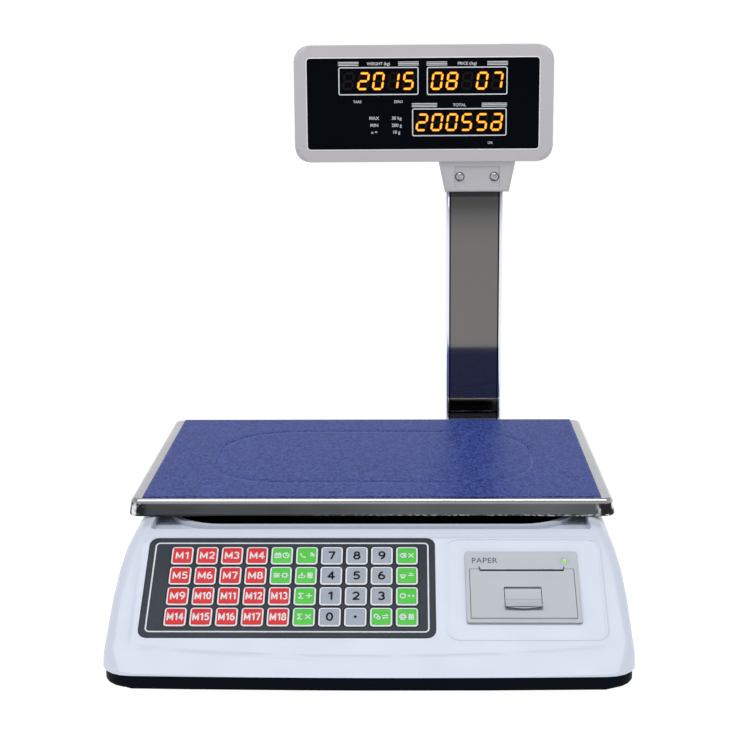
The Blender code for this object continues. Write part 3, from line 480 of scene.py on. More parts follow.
def rolled(name, colour, roughness, grain_mm, stretch, waviness=0.05, grain_depth=0.004):
    """Sheet metal: long fine scratches along the rolling, slow waves in the sheet, and a few finger marks."""
    r = Recipe(name)
    lines = r.noise(grain_mm, 3.0, stretch)
    smudge = r.noise(35.0, 4.0)
    body = r.blend(lines, scaled(colour, 0.9), scaled(colour, 1.1))
    body = r.blend(r.between(smudge, 0.0, 0.35, 0.5, 0.75), body, scaled(colour, 0.82))
    rough = r.between(smudge, roughness, roughness + 0.1, 0.45, 0.8)
    normal = r.bump(r.noise(70.0, 1.0), waviness, 1.0)
    normal = r.bump(lines, grain_depth, 0.6, normal)
    r.set(r.shader, Base_Color=body, Roughness=rough, Normal=normal)
    r.shader.inputs["Metallic"].default_value = 1.0
    return r.material


def bold_print(name, colour, roughness=0.42):
    """Screen ink: even colour with pinholes and a slight ridge where the squeegee passed."""
    r = Recipe(name)
    holes = r.noise(0.5, 2.0)
    body = r.blend(r.between(holes, 0.0, 0.25, 0.45, 0.8), colour, scaled(colour, 0.8))
    rough = r.between(r.noise(6.0, 3.0), roughness - 0.05, roughness + 0.07)
    r.set(r.shader, Base_Color=body, Roughness=rough, Normal=r.bump(holes, 0.01, 0.4))
    return r.material


# %% [markdown]
# ## The finish of each material slot
# The record names a material for every CAD node. A node keeps its CAD mesh and only gets the finish made here
# for its slot. The colours are those of the real parts: cool white housing, warm grey head and printer, dark
# mirror steel, and a blue pebbled film.

# %% One finish for each slot
WHITE = tone(205, 212, 226)
FINISH = {
    "white_plastic": moulded("white_housing", WHITE, 0.38, 0.5, 0.012, 0.015, coat=0.15, shade_and_dirt=0.25),
    "black_plastic": moulded("black_tray", tone(7, 13, 22), 0.5, 0.4, 0.03, 0.10, shade_and_dirt=0.1, specular=0.03),
    "grey_plastic": moulded("grey_head", tone(181, 179, 182), 0.5, 0.45, 0.02, 0.02, shade_and_dirt=0.3, specular=0.3),
    "printer_plastic": moulded("printer_grey", tone(182, 187, 193), 0.5, 0.4, 0.02, 0.02, shade_and_dirt=0.45),
    "stainless": rolled("polished_steel", tone(116, 114, 115), 0.1, 0.6, (1, 1, 0.012), 0.02),
    "keypad_print": bold_print("keypad_ground", tone(56, 59, 68), 0.32),
    "rubber": moulded("foot_rubber", tone(34, 34, 36), 0.7, 0.8, 0.05, 0.15, shade_and_dirt=0.2, specular=0.3),
    "aluminium": rolled("milled_aluminium", tone(200, 200, 205), 0.3, 0.5, (0.03, 1, 1)),
    "steel": rolled("zinc_plate", tone(176, 178, 184), 0.28, 0.8, (1, 1, 1), 0.02),
    "black_paint": moulded("black_paint", tone(36, 36, 39), 0.5, 1.2, 0.06, 0.1, metallic=0.0),
    "circuit_board": moulded("solder_mask", tone(24, 96, 54), 0.35, 0.8, 0.02, 0.2, coat=0.3),
    "nylon": moulded("natural_nylon", tone(222, 219, 208), 0.5, 0.5, 0.02, 0.03),
    "paper": moulded("thermal_paper", tone(240, 240, 238), 0.75, 0.2, 0.01, 0.01, shade_and_dirt=0.5,
                     stretch=(1, 0.05, 1)),
    "cable_grey": moulded("cable_pvc", tone(95, 95, 98), 0.5, 0.6, 0.02, 0.05),
    "led_module": moulded("led_module", tone(40, 16, 12), 0.4, 0.5, 0.02, 0.1),
    "smoked_window": moulded("window_black", tone(5, 9, 15), 0.12, 3.0, 0.004, 0.1, coat=0.6, shade_and_dirt=0.0),
    "green_led": moulded("lit_green", tone(110, 215, 20), 0.25, 0.5, 0.01, 0.1, coat=0.5, shade_and_dirt=0.2),
    "vial_green": moulded("vial_fluid", tone(170, 205, 60), 0.1, 1.0, 0.01, 0.1, coat=1.0, shade_and_dirt=0.2),
    "blue_film": moulded("film_edge", tone(64, 80, 150), 0.5, 0.8, 0.1, 0.05),
}
led_shader = FINISH["green_led"].node_tree.nodes["Principled BSDF"]
led_shader.inputs["Emission Color"].default_value = tone(96, 205, 8)
led_shader.inputs["Emission Strength"].default_value = 0.35

# %% [markdown]
# ## Finishing the CAD nodes
# A CAD node comes as loose flat triangles with knife edges, and no moulding has those. Its own mesh is left
# as it is. Modifiers do the rest while it is drawn: Weld joins the triangles, Decimate merges the flat ones,
# Bevel gives each sharp edge a small radius, and a short node group shades the curved ones smooth.

# %% Smooth by angle, and the four modifiers
smoother = bpy.data.node_groups.new("smooth_by_angle", "GeometryNodeTree")
smoother.interface.new_socket("Geometry", in_out="INPUT", socket_type="NodeSocketGeometry")
smoother.interface.new_socket("Geometry", in_out="OUTPUT", socket_type="NodeSocketGeometry")
group_in, group_out = smoother.nodes.new("NodeGroupInput"), smoother.nodes.new("NodeGroupOutput")
whole, sharp = (smoother.nodes.new("GeometryNodeSetShadeSmooth") for _ in range(2))
whole.domain, sharp.domain = "FACE", "EDGE"
sharp.inputs["Shade Smooth"].default_value = False
edge_angle = smoother.nodes.new("GeometryNodeInputMeshEdgeAngle")
steep = smoother.nodes.new("FunctionNodeCompare")
steep.data_type, steep.operation = "FLOAT", "GREATER_THAN"
steep.inputs[1].default_value = radians(32)
for source, target in (
    (group_in.outputs[0], whole.inputs[0]), (whole.outputs[0], sharp.inputs[0]),
    (edge_angle.outputs[0], steep.inputs[0]), (steep.outputs[0], sharp.inputs["Selection"]),
    (sharp.outputs[0], group_out.inputs[0]),
):
    smoother.links.new(source, target)


def soften(item, radius_mm, segments=3):
    """Weld, merge flat triangles, round edges steeper than 32 degrees, and shade the rest smooth."""
    weld = item.modifiers.new("weld", "WELD")
    weld.merge_threshold = 2e-6
    if radius_mm:
        flat = item.modifiers.new("flat", "DECIMATE")
        flat.decimate_type, flat.angle_limit = "DISSOLVE", radians(0.6)
        bevel = item.modifiers.new("edge", "BEVEL")
        bevel.width, bevel.segments = radius_mm / 1000, segments
        bevel.limit_method, bevel.angle_limit = "ANGLE", radians(32)
        bevel.use_clamp_overlap = True
        bevel.miter_outer = "MITER_ARC"
    shade = item.modifiers.new("shade", "NODES")
    shade.node_group = smoother
    normals = item.modifiers.new("normals", "WEIGHTED_NORMAL")
    normals.keep_sharp = True


EDGE_RADIUS = {
    "bottom_tray": 0.6, "head_front_case": 0.6, "head_rear_case": 0.6,
    "printer_lid": 0.3, "release_lever": 0.25, "levelling_foot_1": 0.5, "levelling_foot_2": 0.5,
    "levelling_foot_3": 0.5, "levelling_foot_4": 0.5, "mains_inlet": 0.4, "switch_bezel": 0.4,
    "power_rocker": 0.4, "platter_support": 0.4, "pole_bracket": 0.5, "tear_bar": 0.1,
}
slot_of = {part["node"]: part["material_slot"] for part in frame["record"]["subparts"]}
for node_name, item in NODES.items():
    item.data.materials.clear()
    item.data.materials.append(FINISH[slot_of[node_name]])
    soften(item, EDGE_RADIUS.get(node_name, 0.0))
print("finished", len(NODES), "CAD nodes")

# %% [markdown]
# ## The pan
# The weighing pan is one sheet of polished steel: a flat top, a tight roll at the edge and a short skirt with
# a raw lower rim. A bent sheet shows best as a swept profile, because the roll then catches one even bright
# line. The profile starts inside the skirt, goes round its lower rim, which flares out a little, up the
# outside, over the roll and onto the top. Its reflections are painted into the colour: the top is painted
# light for the pale wall behind it, the skirt painted dark for the dark underside of the room, and the
# corners carry painted streaks of highlight.

# %% Pan from a swept profile
TOP = surface((0, 0, 0), (1, 0, 0), (0, 1, 0))
pan_low, pan_high = extent("platter", TOP)
pan_size = (pan_high - pan_low)[:2]
pan_middle = ((pan_high + pan_low) / 2)[:2]
SHEET, ROLL = 1.0, 3.0
pan_top = pan_high[2]
roll_turn = np.linspace(0, pi / 2, 9)
FLARE = 1.3
lip_z = pan_low[2]
pan_profile = [(SHEET - FLARE, pan_top - ROLL - 4.0), (SHEET - FLARE, lip_z + 0.4), (0.8 - FLARE, lip_z),
               (0.2 - FLARE, lip_z), (-FLARE, lip_z + 0.4), (-0.97 * FLARE, lip_z + 1.4),
               (-0.62 * FLARE, lip_z + 3.6), (-0.25 * FLARE, lip_z + 6.2), (0.0, pan_top - ROLL - 0.4)]
pan_profile += [(ROLL * (1 - cos(t)), pan_top - ROLL * (1 - sin(t))) for t in roll_turn]
pan_profile += [(ROLL + 1.5, pan_top), (ROLL + 30.0, pan_top), (ROLL + 30.0, pan_top - SHEET)]
pan_shape = plate(pan_size, 7.0, pan_profile, pan_middle, 14)


LIGHT_TO_SHADE_BAND = (3.6, 1.2)
CORNER_GLINT_FADE = (13.0, 9.0)
TORN_BAND = (0.9, 1.5)
TORN_FROM, TORN_FULL = -60.0, 30.0
TORN_FILM = tone(222, 222, 216)
PAINTED_GLINT = tone(225, 226, 228)


def sheet_steel(name, top, side):
    """Steel: painted light on top and roll, painted shade on the skirt, painted corner glints, torn film at
    rim.
    """
    r = Recipe(name)
    spot = r.add("SeparateXYZ", Vector=r.add("TexCoord").outputs["Object"])
    # Painted reflection: the top and roll are painted light and the skirt painted dark, joined over this
    # band.
    rise = r.between(spot.outputs["Z"], 0.0, 1.0, *[(pan_top - band) / 1000 for band in LIGHT_TO_SHADE_BAND])
    streaks = r.noise(6.0, 2.0, (1, 1, 0.6))
    # Painted shade: the skirt is painted darker towards the left.
    along = r.between(spot.outputs["X"], 0.42, 1.2, -0.17, 0.05)
    shade = r.times(along, r.between(r.noise(70.0, 2.0), 0.8, 1.2, 0.35, 0.65))
    skirt = r.blend(1.0, side, r.add("CombineColor", i0=shade, i1=shade, i2=shade).outputs[0], "MULTIPLY")
    skirt = r.blend(r.between(r.noise(0.9, 2.0, (0.05, 0.05, 1)), 0.0, 0.5), skirt, scaled(side, 1.45))
    # Painted highlights: near each corner the skirt is painted with white and dark streaks.
    corner = 1.0
    for axis, middle, whole in zip("XY", pan_middle, pan_size):
        past = r.add("Math", {"operation": "SUBTRACT"}, i0=spot.outputs[axis], i1=middle / 1000).outputs[0]
        away = r.add("Math", {"operation": "ABSOLUTE"}, i0=past).outputs[0]
        near_end = r.between(away, 0.0, 1.0, *[(whole / 2 - inset) / 1000 for inset in CORNER_GLINT_FADE])
        corner = r.times(corner, near_end)
    painted_corner_streaks = r.blend(r.between(streaks, 0.0, 1.0, 0.54, 0.66), scaled(side, 0.25), PAINTED_GLINT)
    skirt = r.blend(corner, skirt, painted_corner_streaks)
    low_rim = r.between(spot.outputs["Z"], 1.0, 0.0, *[(lip_z + band) / 1000 for band in TORN_BAND])
    torn = r.times(r.between(r.noise(2.6, 3.0, (1, 1, 2)), 0.0, 1.0, 0.5, 0.56), low_rim)
    torn = r.times(torn, r.between(spot.outputs["X"], 0.0, 1.0, TORN_FROM / 1000, TORN_FULL / 1000))
    skirt = r.blend(torn, skirt, TORN_FILM)
    smudge = r.noise(40.0, 4.0)
    flat = r.blend(r.between(smudge, 0.0, 0.5, 0.4, 0.8), top, scaled(top, 0.8))
    flat = r.blend(r.between(r.noise(0.5, 2.0, (0.02, 1, 1)), 0.0, 0.3), flat, scaled(top, 1.2))
    normal = r.bump(r.noise(60.0, 1.0), 0.03, 1.0)
    normal = r.bump(streaks, 0.25, 0.35, normal)
    r.set(r.shader, Base_Color=r.blend(rise, skirt, flat), Roughness=r.between(smudge, 0.14, 0.24, 0.4, 0.8),
          Normal=normal)
    r.shader.inputs["Metallic"].default_value = 1.0
    return r.material


# The two tones are lit and shaded copies of one steel: painted light for the top, painted shade for the
# skirt.
make("steel_pan", pan_shape, TOP, sheet_steel("pan_steel", tone(196, 196, 198), tone(78, 79, 82)), "platter",
     ["platter"])

# %% [markdown]
# ## The pole
# The pole is drawn steel tube, polished like the pan. A long flat mirror with two small radii is all there is
# to see, and its look is painted into the steel's colour: the flats are painted mid grey, each radius carries
# a painted highlight line, and just inside it a painted dark line. The tube is an outline carried up, with a
# few extra columns of points beside each radius. A number stored at every point marks the painted highlight,
# 1 on the radius and 0 on the dark line beside it, and the finish reads it.

# %% Pole from an outline with extra columns beside its corners
pole_low, pole_high = extent("pole", TOP)
POLE_RADIUS = 2.6


def pole_column():
    """Quarter circles at the corners, and points 0.4, 1.1 and 1.9 mm along each flat beside them."""
    half = (pole_high - pole_low)[:2] / 2 - POLE_RADIUS
    turn = np.linspace(0, pi / 2, 9)
    spots, highlight_marks = [], []
    for quarter, (side_x, side_y) in enumerate(((1, 1), (-1, 1), (-1, -1), (1, -1))):
        angle = turn + quarter * pi / 2
        heading_in, heading_out = angle[0] - pi / 2, angle[-1] + pi / 2
        middle = np.array([side_x * half[0], side_y * half[1]])
        curve = middle + POLE_RADIUS * np.column_stack([np.cos(angle), np.sin(angle)])
        before = curve[0] + np.outer([1.9, 1.1, 0.4], [cos(heading_in), sin(heading_in)])
        after = curve[-1] + np.outer([0.4, 1.1, 1.9], [cos(heading_out), sin(heading_out)])
        spots += [before, curve, after]
        highlight_marks += [[0.5, 0.0, 0.0], [1.0] * 9, [0.0, 0.0, 0.5]]
    outline = np.vstack(spots) + (pole_low + pole_high)[:2] / 2
    levels = np.linspace(pole_low[2], pole_high[2], 5)
    rings = np.array([np.column_stack([outline, np.full(len(outline), level)]) for level in levels])
    return skin(rings), np.tile(np.concatenate(highlight_marks), len(levels))


pole_steel = Recipe("pole_steel")
# Painted highlight: the stored number becomes a bright line on each radius and a dark line beside it.
highlight_mark = pole_steel.add("Attribute", {"attribute_name": "round"}).outputs["Fac"]
painted_edge_light = pole_steel.add("ValToRGB", Fac=highlight_mark)
painted_edge_light.color_ramp.elements[0].color = tone(18, 18, 19)
painted_edge_light.color_ramp.elements[1].color = tone(232, 236, 244)
for position, grey in ((0.35, 108), (0.5, 110), (0.62, 110), (0.8, 200)):
    painted_edge_light.color_ramp.elements.new(position).color = tone(grey + 3, grey + 1, grey)
lines = pole_steel.noise(0.7, 3.0, (1, 1, 0.006))
pole_colour = pole_steel.blend(pole_steel.between(lines, 0.0, 0.5), painted_edge_light.outputs["Color"],
                               (0.9, 0.9, 0.92, 1), "MULTIPLY")
# A faint painted reflection: a woven pattern darkens the steel in patches.
reflected_weave_pattern = pole_steel.noise(1.4, 2.0, (0.3, 0.3, 1))
pole_colour = pole_steel.blend(pole_steel.between(reflected_weave_pattern, 0.0, 0.4), pole_colour, (0.86, 0.86, 0.86, 1),
                               "MULTIPLY")
pole_normal = pole_steel.bump(pole_steel.noise(55.0, 1.0), 0.01, 1.0)
pole_normal = pole_steel.bump(lines, 0.001, 0.5, pole_normal)
pole_steel.set(pole_steel.shader, Base_Color=pole_colour, Normal=pole_normal,
               Roughness=pole_steel.between(pole_steel.noise(30.0, 4.0), 0.04, 0.08))
pole_steel.shader.inputs["Metallic"].default_value = 1.0
pole_shape, pole_highlight_marks = pole_column()
pole_item = make("steel_pole", pole_shape, TOP, pole_steel.material, "base", ["pole"])
# The stored number that marks the painted highlight on the pole.
pole_highlight_data = pole_item.data.attributes.new("round", "FLOAT", "POINT")
pole_highlight_data.data.foreach_set("value", pole_highlight_marks.astype(np.float32))

# %% [markdown]
# ## The blue film
# The film that guards the pan is embossed all over with a fine pebble, and a long oval line pressed in the
# sheet below shows through it. The pebble is far too small to model, so it is colour and bump from noise.
# The oval is real height: a grid over the pan whose points sink along the line where the distance to a
# rounded rectangle is zero.

# %% Film grid and its pebble
film_low, film_high = extent("platter_film", TOP)
OVAL_HALF, OVAL_CORNER, OVAL_WIDTH, OVAL_DEPTH = (121.0, 73.0), 56.0, 2.4, 0.42


def rounded_distance(right, up, half, corner):
    """Distance to a rounded rectangle's line: outside positive, inside negative."""
    across = np.abs(right) - (half[0] - corner)
    along = np.abs(up) - (half[1] - corner)
    outside = np.hypot(np.maximum(across, 0), np.maximum(along, 0))
    return outside + np.minimum(np.maximum(across, along), 0) - corner


def sheet_grid(low, high, counts, height, below):
    """A closed thin sheet: a grid whose height is a function of right and up, with sides down to below."""
    right, up = np.meshgrid(np.linspace(low[0], high[0], counts[0]), np.linspace(low[1], high[1], counts[1]))
    top = np.column_stack([right.ravel(), up.ravel(), height(right, up).ravel()])
    row, column = np.meshgrid(np.arange(counts[1] - 1), np.arange(counts[0] - 1), indexing="ij")
    first = (row * counts[0] + column).ravel()
    faces = np.column_stack([first, first + 1, first + counts[0] + 1, first + counts[0]]).tolist()
    index = np.arange(counts[0] * counts[1]).reshape(counts[1], counts[0])
    edge = np.concatenate([index[0, :-1], index[:-1, -1], index[-1, :0:-1], index[:0:-1, 0]])
    foot = top[edge].copy()
    foot[:, 2] = below
    start = len(top)
    next_edge = np.roll(np.arange(len(edge)), -1)
    sides = np.column_stack([edge, start + np.arange(len(edge)), start + next_edge, edge[next_edge]]).tolist()
    return np.vstack([top, foot]), faces + sides + [list(range(start, start + len(edge)))[::-1]]


def film_height(right, up):
    """Film top, less a bell-shaped groove along the oval, and a slow wave where the film lies loose."""
    away = rounded_distance(right - pan_middle[0], up - pan_middle[1], OVAL_HALF, OVAL_CORNER)
    wave = 0.02 * np.sin(right / 23.0) * np.sin(up / 31.0 + 1.0)
    return film_high[2] + 0.15 - OVAL_DEPTH * np.exp(-(away / OVAL_WIDTH) ** 2) + wave


film_recipe = Recipe("pebbled_film")
pebble = film_recipe.noise(1.0, 2.0)
clump = film_recipe.noise(2.3, 1.0)
grain = film_recipe.add("Math", {"operation": "ADD"}, i0=pebble, i1=clump).outputs[0]
film_share = film_recipe.between(grain, 0.0, 1.0, 0.82, 1.18)
film_colour = film_recipe.blend(film_share, tone(8, 26, 100), tone(70, 92, 168))
film_colour = film_recipe.blend(film_recipe.between(film_recipe.noise(45.0, 3.0), 0.0, 0.3), film_colour,
                                tone(36, 54, 130))
film_rough = film_recipe.between(clump, 0.36, 0.5)
film_recipe.shader.inputs["Specular IOR Level"].default_value = 0.1
film_recipe.set(film_recipe.shader, Base_Color=film_colour, Roughness=film_rough,
                Normal=film_recipe.bump(grain, 0.12, 0.7))
film_recipe.shader.inputs["Coat Weight"].default_value = 0.04
film_recipe.shader.inputs["Coat Roughness"].default_value = 0.3
make("film", sheet_grid(film_low, film_high, (172, 116), film_height, film_low[2] - 0.02), TOP,
     film_recipe.material, "platter", ["platter_film"])

# %% [markdown]
# ## The keypad sheet
# A membrane keypad is one printed polyester sheet. It is printed from behind, so its ground, the white line
# round the field and the key borders all lie in one glossy surface, and each key is pressed up into a soft
# square. The sheet is a plate with an eased edge. What is printed stands a few hundredths of a millimetre
# above it, which keeps every colour its own clean shape.

# %% Sheet and the line round its field
pad_size = (PAD_HIGH - PAD_LOW)[:2]
SHEET_TOP = 0.2
ground = Recipe("keypad_ground_film")
ground_colour = ground.blend(ground.noise(26.0, 3.0), tone(46, 51, 59), tone(64, 69, 77))
ground_colour = ground.blend(ground.between(ground.noise(0.7, 2.0), 0.0, 0.3, 0.4, 0.8), ground_colour,
                             tone(70, 75, 83))
ground.set(ground.shader, Base_Color=ground_colour,
           Roughness=ground.between(ground.noise(12.0, 3.0), 0.22, 0.36),
           Normal=ground.bump(ground.noise(0.6, 2.0), 0.02, 0.5))
ground.shader.inputs["Specular IOR Level"].default_value = 0.06
make("keypad_sheet", plate(pad_size, 6.0, eased(PAD_LOW[2], SHEET_TOP, 0.5)), DECK, ground.material, "base",
     ["keypad_overlay"])
INK_LIFT = 0.03
FIELD_INSET, FIELD_LINE, FIELD_CORNER = 4.1, 1.05, 3.2
white_ink = bold_print("white_ink", tone(224, 226, 230), 0.38)
field_size = tuple(pad_size - 2 * FIELD_INSET)
field_line = trim(field_size, FIELD_CORNER, FIELD_LINE, SHEET_TOP - 0.05, SHEET_TOP + INK_LIFT)
make("keypad_field_line", field_line, DECK, white_ink, "base")

# %% [markdown]
# ## Forty keys
# A key is a coloured square inside a white border, with a shallow ring around the snap dome under the
# middle. Round each border the ground is darkened, a painted shade between the raised keys, which leaves
# small pale diamonds where four keys meet. The border is one eased plate for each key. The coloured face is a
# small grid whose height is worked out from the distance to its edge and to the middle, so light breaks on
# the ring as on the real one.

# %% Key places
KEY_PITCH = (17.0, 16.7)
FIRST_KEY = (-74.25, 25.4)
BORDER_SIZE, FACE_SIZE = 14.7, 12.7
BORDER_TOP, FACE_RISE = 0.62, 0.10
LAYOUT = (
    "M1 M2 M3 M4 date phone 7 8 9 clear",
    "M5 M6 M7 M8 setup store 4 5 6 tare",
    "M9 M10 M11 M12 M13 sum 1 2 3 zero",
    "M14 M15 M16 M17 M18 sum_clear 0 dot change print",
)
KEYS = [
    (label, (FIRST_KEY[0] + column * KEY_PITCH[0], FIRST_KEY[1] - row * KEY_PITCH[1]))
    for row, labels in enumerate(LAYOUT) for column, label in enumerate(labels.split())
]
MEMORY = [(label, at) for label, at in KEYS if label[0] == "M"]
DIGITS = [(label, at) for label, at in KEYS if label.isdigit() or label == "dot"]
FUNCTIONS = [(label, at) for label, at in KEYS if not (label[0] == "M" or label.isdigit() or label == "dot")]
print(len(MEMORY), "memory keys,", len(DIGITS), "figure keys,", len(FUNCTIONS), "function keys")


# %% Key borders and faces
def key_face(centre):
    """Height falls at the face's rounded edge and stands in a soft ring 4 mm from the middle."""
    grid = np.linspace(-FACE_SIZE / 2, FACE_SIZE / 2, 15)
    right, up = np.meshgrid(grid, grid)
    squash = 1 - 0.035 * (np.abs(right * up) / (FACE_SIZE / 2) ** 2) ** 3
    right, up = right * squash, up * squash
    from_edge = FACE_SIZE / 2 - np.maximum(np.abs(right), np.abs(up))
    from_middle = np.hypot(right, up)
    rise = FACE_RISE * np.clip(from_edge / 1.1, 0, 1) ** 0.6
    rise += 0.16 * np.exp(-((from_middle - 3.6) / 0.75) ** 2) + 0.10 * (from_middle < 3.2)
    rise -= 0.12 * np.exp(-((from_edge - 1.25) / 0.45) ** 2)
    points, faces = sheet_grid((grid[0], grid[0]), (grid[-1], grid[-1]), (15, 15), lambda a, b: a * 0,
                               BORDER_TOP - 0.3)
    points[:225, 0], points[:225, 1], points[:225, 2] = right.ravel(), up.ravel(), BORDER_TOP + rise.ravel()
    points[225:, :2] = points[:225].reshape(15, 15, 3)[
        np.concatenate([np.zeros(14, int), np.arange(14), np.full(14, 14), np.arange(14, 0, -1)]),
        np.concatenate([np.arange(14), np.full(14, 14), np.arange(14, 0, -1), np.zeros(14, int)])][:, :2]
    points[:, :2] += centre
    return points, faces


# Painted shade: a dark ground round each key border, leaving pale diamonds where four keys meet.
painted_key_shade = bold_print("dark_surround", tone(36, 40, 48), 0.36)
dull(painted_key_shade, 0.05)
SURROUND_GAP, SURROUND_CORNER, BORDER_CORNER = 0.3, 3.6, 2.2
surround_size = tuple(pitch - SURROUND_GAP for pitch in KEY_PITCH)
surround_profile = [(0.0, SHEET_TOP - 0.05), (0.0, SHEET_TOP + 0.02)]
surrounds = [plate(surround_size, SURROUND_CORNER, surround_profile, at, 5) for _, at in KEYS]
make("key_surrounds", gather(surrounds), DECK, painted_key_shade, "base", smooth=False)
border_profile = eased(SHEET_TOP - 0.1, BORDER_TOP, 0.35, 3)
borders = [plate((BORDER_SIZE, BORDER_SIZE), BORDER_CORNER, border_profile, at, 4) for _, at in KEYS]
make("key_borders", gather(borders), DECK, white_ink, "base")


def key_ink(name, colour):
    """Glossy tinted sheet over ink: the tint deepens in slow patches, with a fine matt texture on top."""
    r = Recipe(name)
    body = r.blend(r.noise(7.0, 3.0), scaled(colour, 0.86), scaled(colour, 1.1))
    body = r.blend(r.between(r.noise(0.6, 2.0), 0.0, 0.3, 0.4, 0.8), body, scaled(colour, 1.2))
    r.set(r.shader, Base_Color=body, Roughness=r.between(r.noise(5.0, 3.0), 0.3, 0.42),
          Normal=r.bump(r.noise(0.5, 2.0), 0.012, 0.5))
    r.shader.inputs["Specular IOR Level"].default_value = 0.15
    return r.material


for name, keys, colour in (("memory_keys", MEMORY, tone(214, 44, 48)),
                           ("figure_keys", DIGITS, tone(158, 166, 178)),
                           ("function_keys", FUNCTIONS, tone(82, 196, 70))):
    make(name, gather([key_face(at) for _, at in keys]), DECK, key_ink(name + "_ink", colour), "base")

# %% [markdown]
# ## What the keys say
# Memory keys carry a letter and a number, and the figure keys a figure. The function keys of such a scale
# are often words, which here are small pictures in pairs, as on many export models: calendar and clock,
# handset and waves, and so on. Each picture is a few round-ended bars and rings, drawn on a square from -1
# to 1, so one list of strokes makes all of them.

# %% Figures and pictures
LEGEND_LOW, LEGEND_HIGH = BORDER_TOP + 0.02, BORDER_TOP + 0.34
MEMORY_HEIGHT, MEMORY_PEN, MEMORY_WIDE, MEMORY_NARROW = 5.6, 0.17, 1.12, 0.88
FIGURE_HEIGHT, FIGURE_PEN, FIGURE_WIDE, DOT_RADIUS = 6.3, 0.2, 1.2, 1.0
memory_parts = [figure(label, MEMORY_HEIGHT, at, LEGEND_LOW, LEGEND_HIGH, MEMORY_PEN,
                       MEMORY_NARROW if len(label) > 2 else MEMORY_WIDE) for label, at in MEMORY]
make("memory_legends", gather(memory_parts), DECK, white_ink, "base", smooth=False)
black_ink = bold_print("black_ink", tone(22, 25, 32), 0.45)
dull(black_ink, 0.1)
figure_parts = [figure(label, FIGURE_HEIGHT, at, LEGEND_LOW, LEGEND_HIGH, FIGURE_PEN, FIGURE_WIDE)
                for label, at in DIGITS if label != "dot"]
figure_parts += [disc(at, DOT_RADIUS, LEGEND_LOW, LEGEND_HIGH) for label, at in DIGITS if label == "dot"]
make("figure_legends", gather(figure_parts), DECK, black_ink, "base", smooth=False)

PICTURES = {
    "calendar": ([[(-.9, -.9), (.9, -.9), (.9, .7), (-.9, .7), (-.9, -.9)], [(-.9, .25), (.9, .25)],
                  [(-.45, .5), (-.45, 1)], [(.45, .5), (.45, 1)], [(-.4, -.3), (.4, -.3)]], []),
    "clock": ([[(0, 0), (0, .6)], [(0, 0), (.45, -.2)]], [((0, 0), .95)]),
    "handset": ([[(-.8, .7), (-.55, -.1), (.1, -.7), (.8, -.9)], [(-.8, .75), (-.4, .45)],
                 [(.45, -.5), (.8, -.85)]], []),
    "waves": ([[(-.2, -.2), (.1, .1)], [(0, .55), (.5, .3), (.6, -.2)],
               [(-.1, .95), (.8, .6), (.95, -.3)]], []),
    "sliders": ([[(-.9, .6), (.9, .6)], [(-.9, 0), (.9, 0)], [(-.9, -.6), (.9, -.6)],
                 [(-.3, .35), (-.3, .85)], [(.4, -.25), (.4, .25)], [(-.1, -.85), (-.1, -.35)]], []),
    "gear": ([[(0, .7), (0, 1)], [(0, -.7), (0, -1)], [(.7, 0), (1, 0)], [(-.7, 0), (-1, 0)],
              [(.5, .5), (.7, .7)], [(-.5, .5), (-.7, .7)], [(.5, -.5), (.7, -.7)],
              [(-.5, -.5), (-.7, -.7)]], [((0, 0), .68)]),
    "tray": ([[(-.9, -.1), (-.9, -.9), (.9, -.9), (.9, -.1)], [(0, .95), (0, -.3)],
              [(-.4, .15), (0, -.3), (.4, .15)]], []),
    "page": ([[(-.65, -.9), (.65, -.9), (.65, .9), (-.65, .9), (-.65, -.9)], [(-.3, .4), (.3, .4)],
              [(-.3, 0), (.3, 0)], [(-.3, -.4), (.3, -.4)]], []),
    "sigma": ([[(.7, .9), (-.7, .9), (.15, 0), (-.7, -.9), (.7, -.9)]], []),
    "plus": ([[(-.8, 0), (.8, 0)], [(0, -.8), (0, .8)]], []),
    "cross": ([[(-.7, -.7), (.7, .7)], [(-.7, .7), (.7, -.7)]], []),
    "wipe": ([[(-.95, 0), (-.3, .75), (.9, .75), (.9, -.75), (-.3, -.75), (-.95, 0)], [(0, -.3), (.55, .3)],
              [(0, .3), (.55, -.3)]], []),
    "bowl": ([[(-.95, .2), (.95, .2)], [(-.8, .2), (-.45, -.6), (.45, -.6), (.8, .2)],
              [(-.5, -.95), (.5, -.95)]], []),
    "minus": ([[(-.7, 0), (.7, 0)], [(-.35, .75), (.35, .75)]], []),
    "level": ([[(-.95, 0), (-.4, 0)], [(-.65, .3), (-.35, 0), (-.65, -.3)], [(.95, 0), (.4, 0)],
               [(.65, .3), (.35, 0), (.65, -.3)]], []),
    "nought": ([], [((0, 0), .8)]),
    "coins": ([[(-.5, -.35), (.1, -.35)]], [((-.25, .25), .62), ((.45, -.4), .5)]),
    "swap": ([[(-.8, .4), (.8, .4)], [(.4, .8), (.8, .4)], [(.8, -.4), (-.8, -.4)],
              [(-.4, -.8), (-.8, -.4)]], []),
    "printer": ([[(-.95, -.4), (-.95, .35), (.95, .35), (.95, -.4), (-.95, -.4)],
                 [(-.55, .35), (-.55, .95), (.55, .95), (.55, .35)],
                 [(-.55, -.05), (-.55, -.95), (.55, -.95), (.55, -.05)]], []),
}
PAIRS = {
    "date": "calendar clock", "phone": "handset waves", "setup": "sliders gear", "store": "tray page",
    "sum": "sigma plus", "sum_clear": "sigma cross", "clear": "wipe cross", "tare": "bowl minus",
    "zero": "nought level", "change": "coins swap", "print": "printer page",
}
PICTURE_HALF, PICTURE_APART, PICTURE_LINE = 2.15, 2.75, 0.62


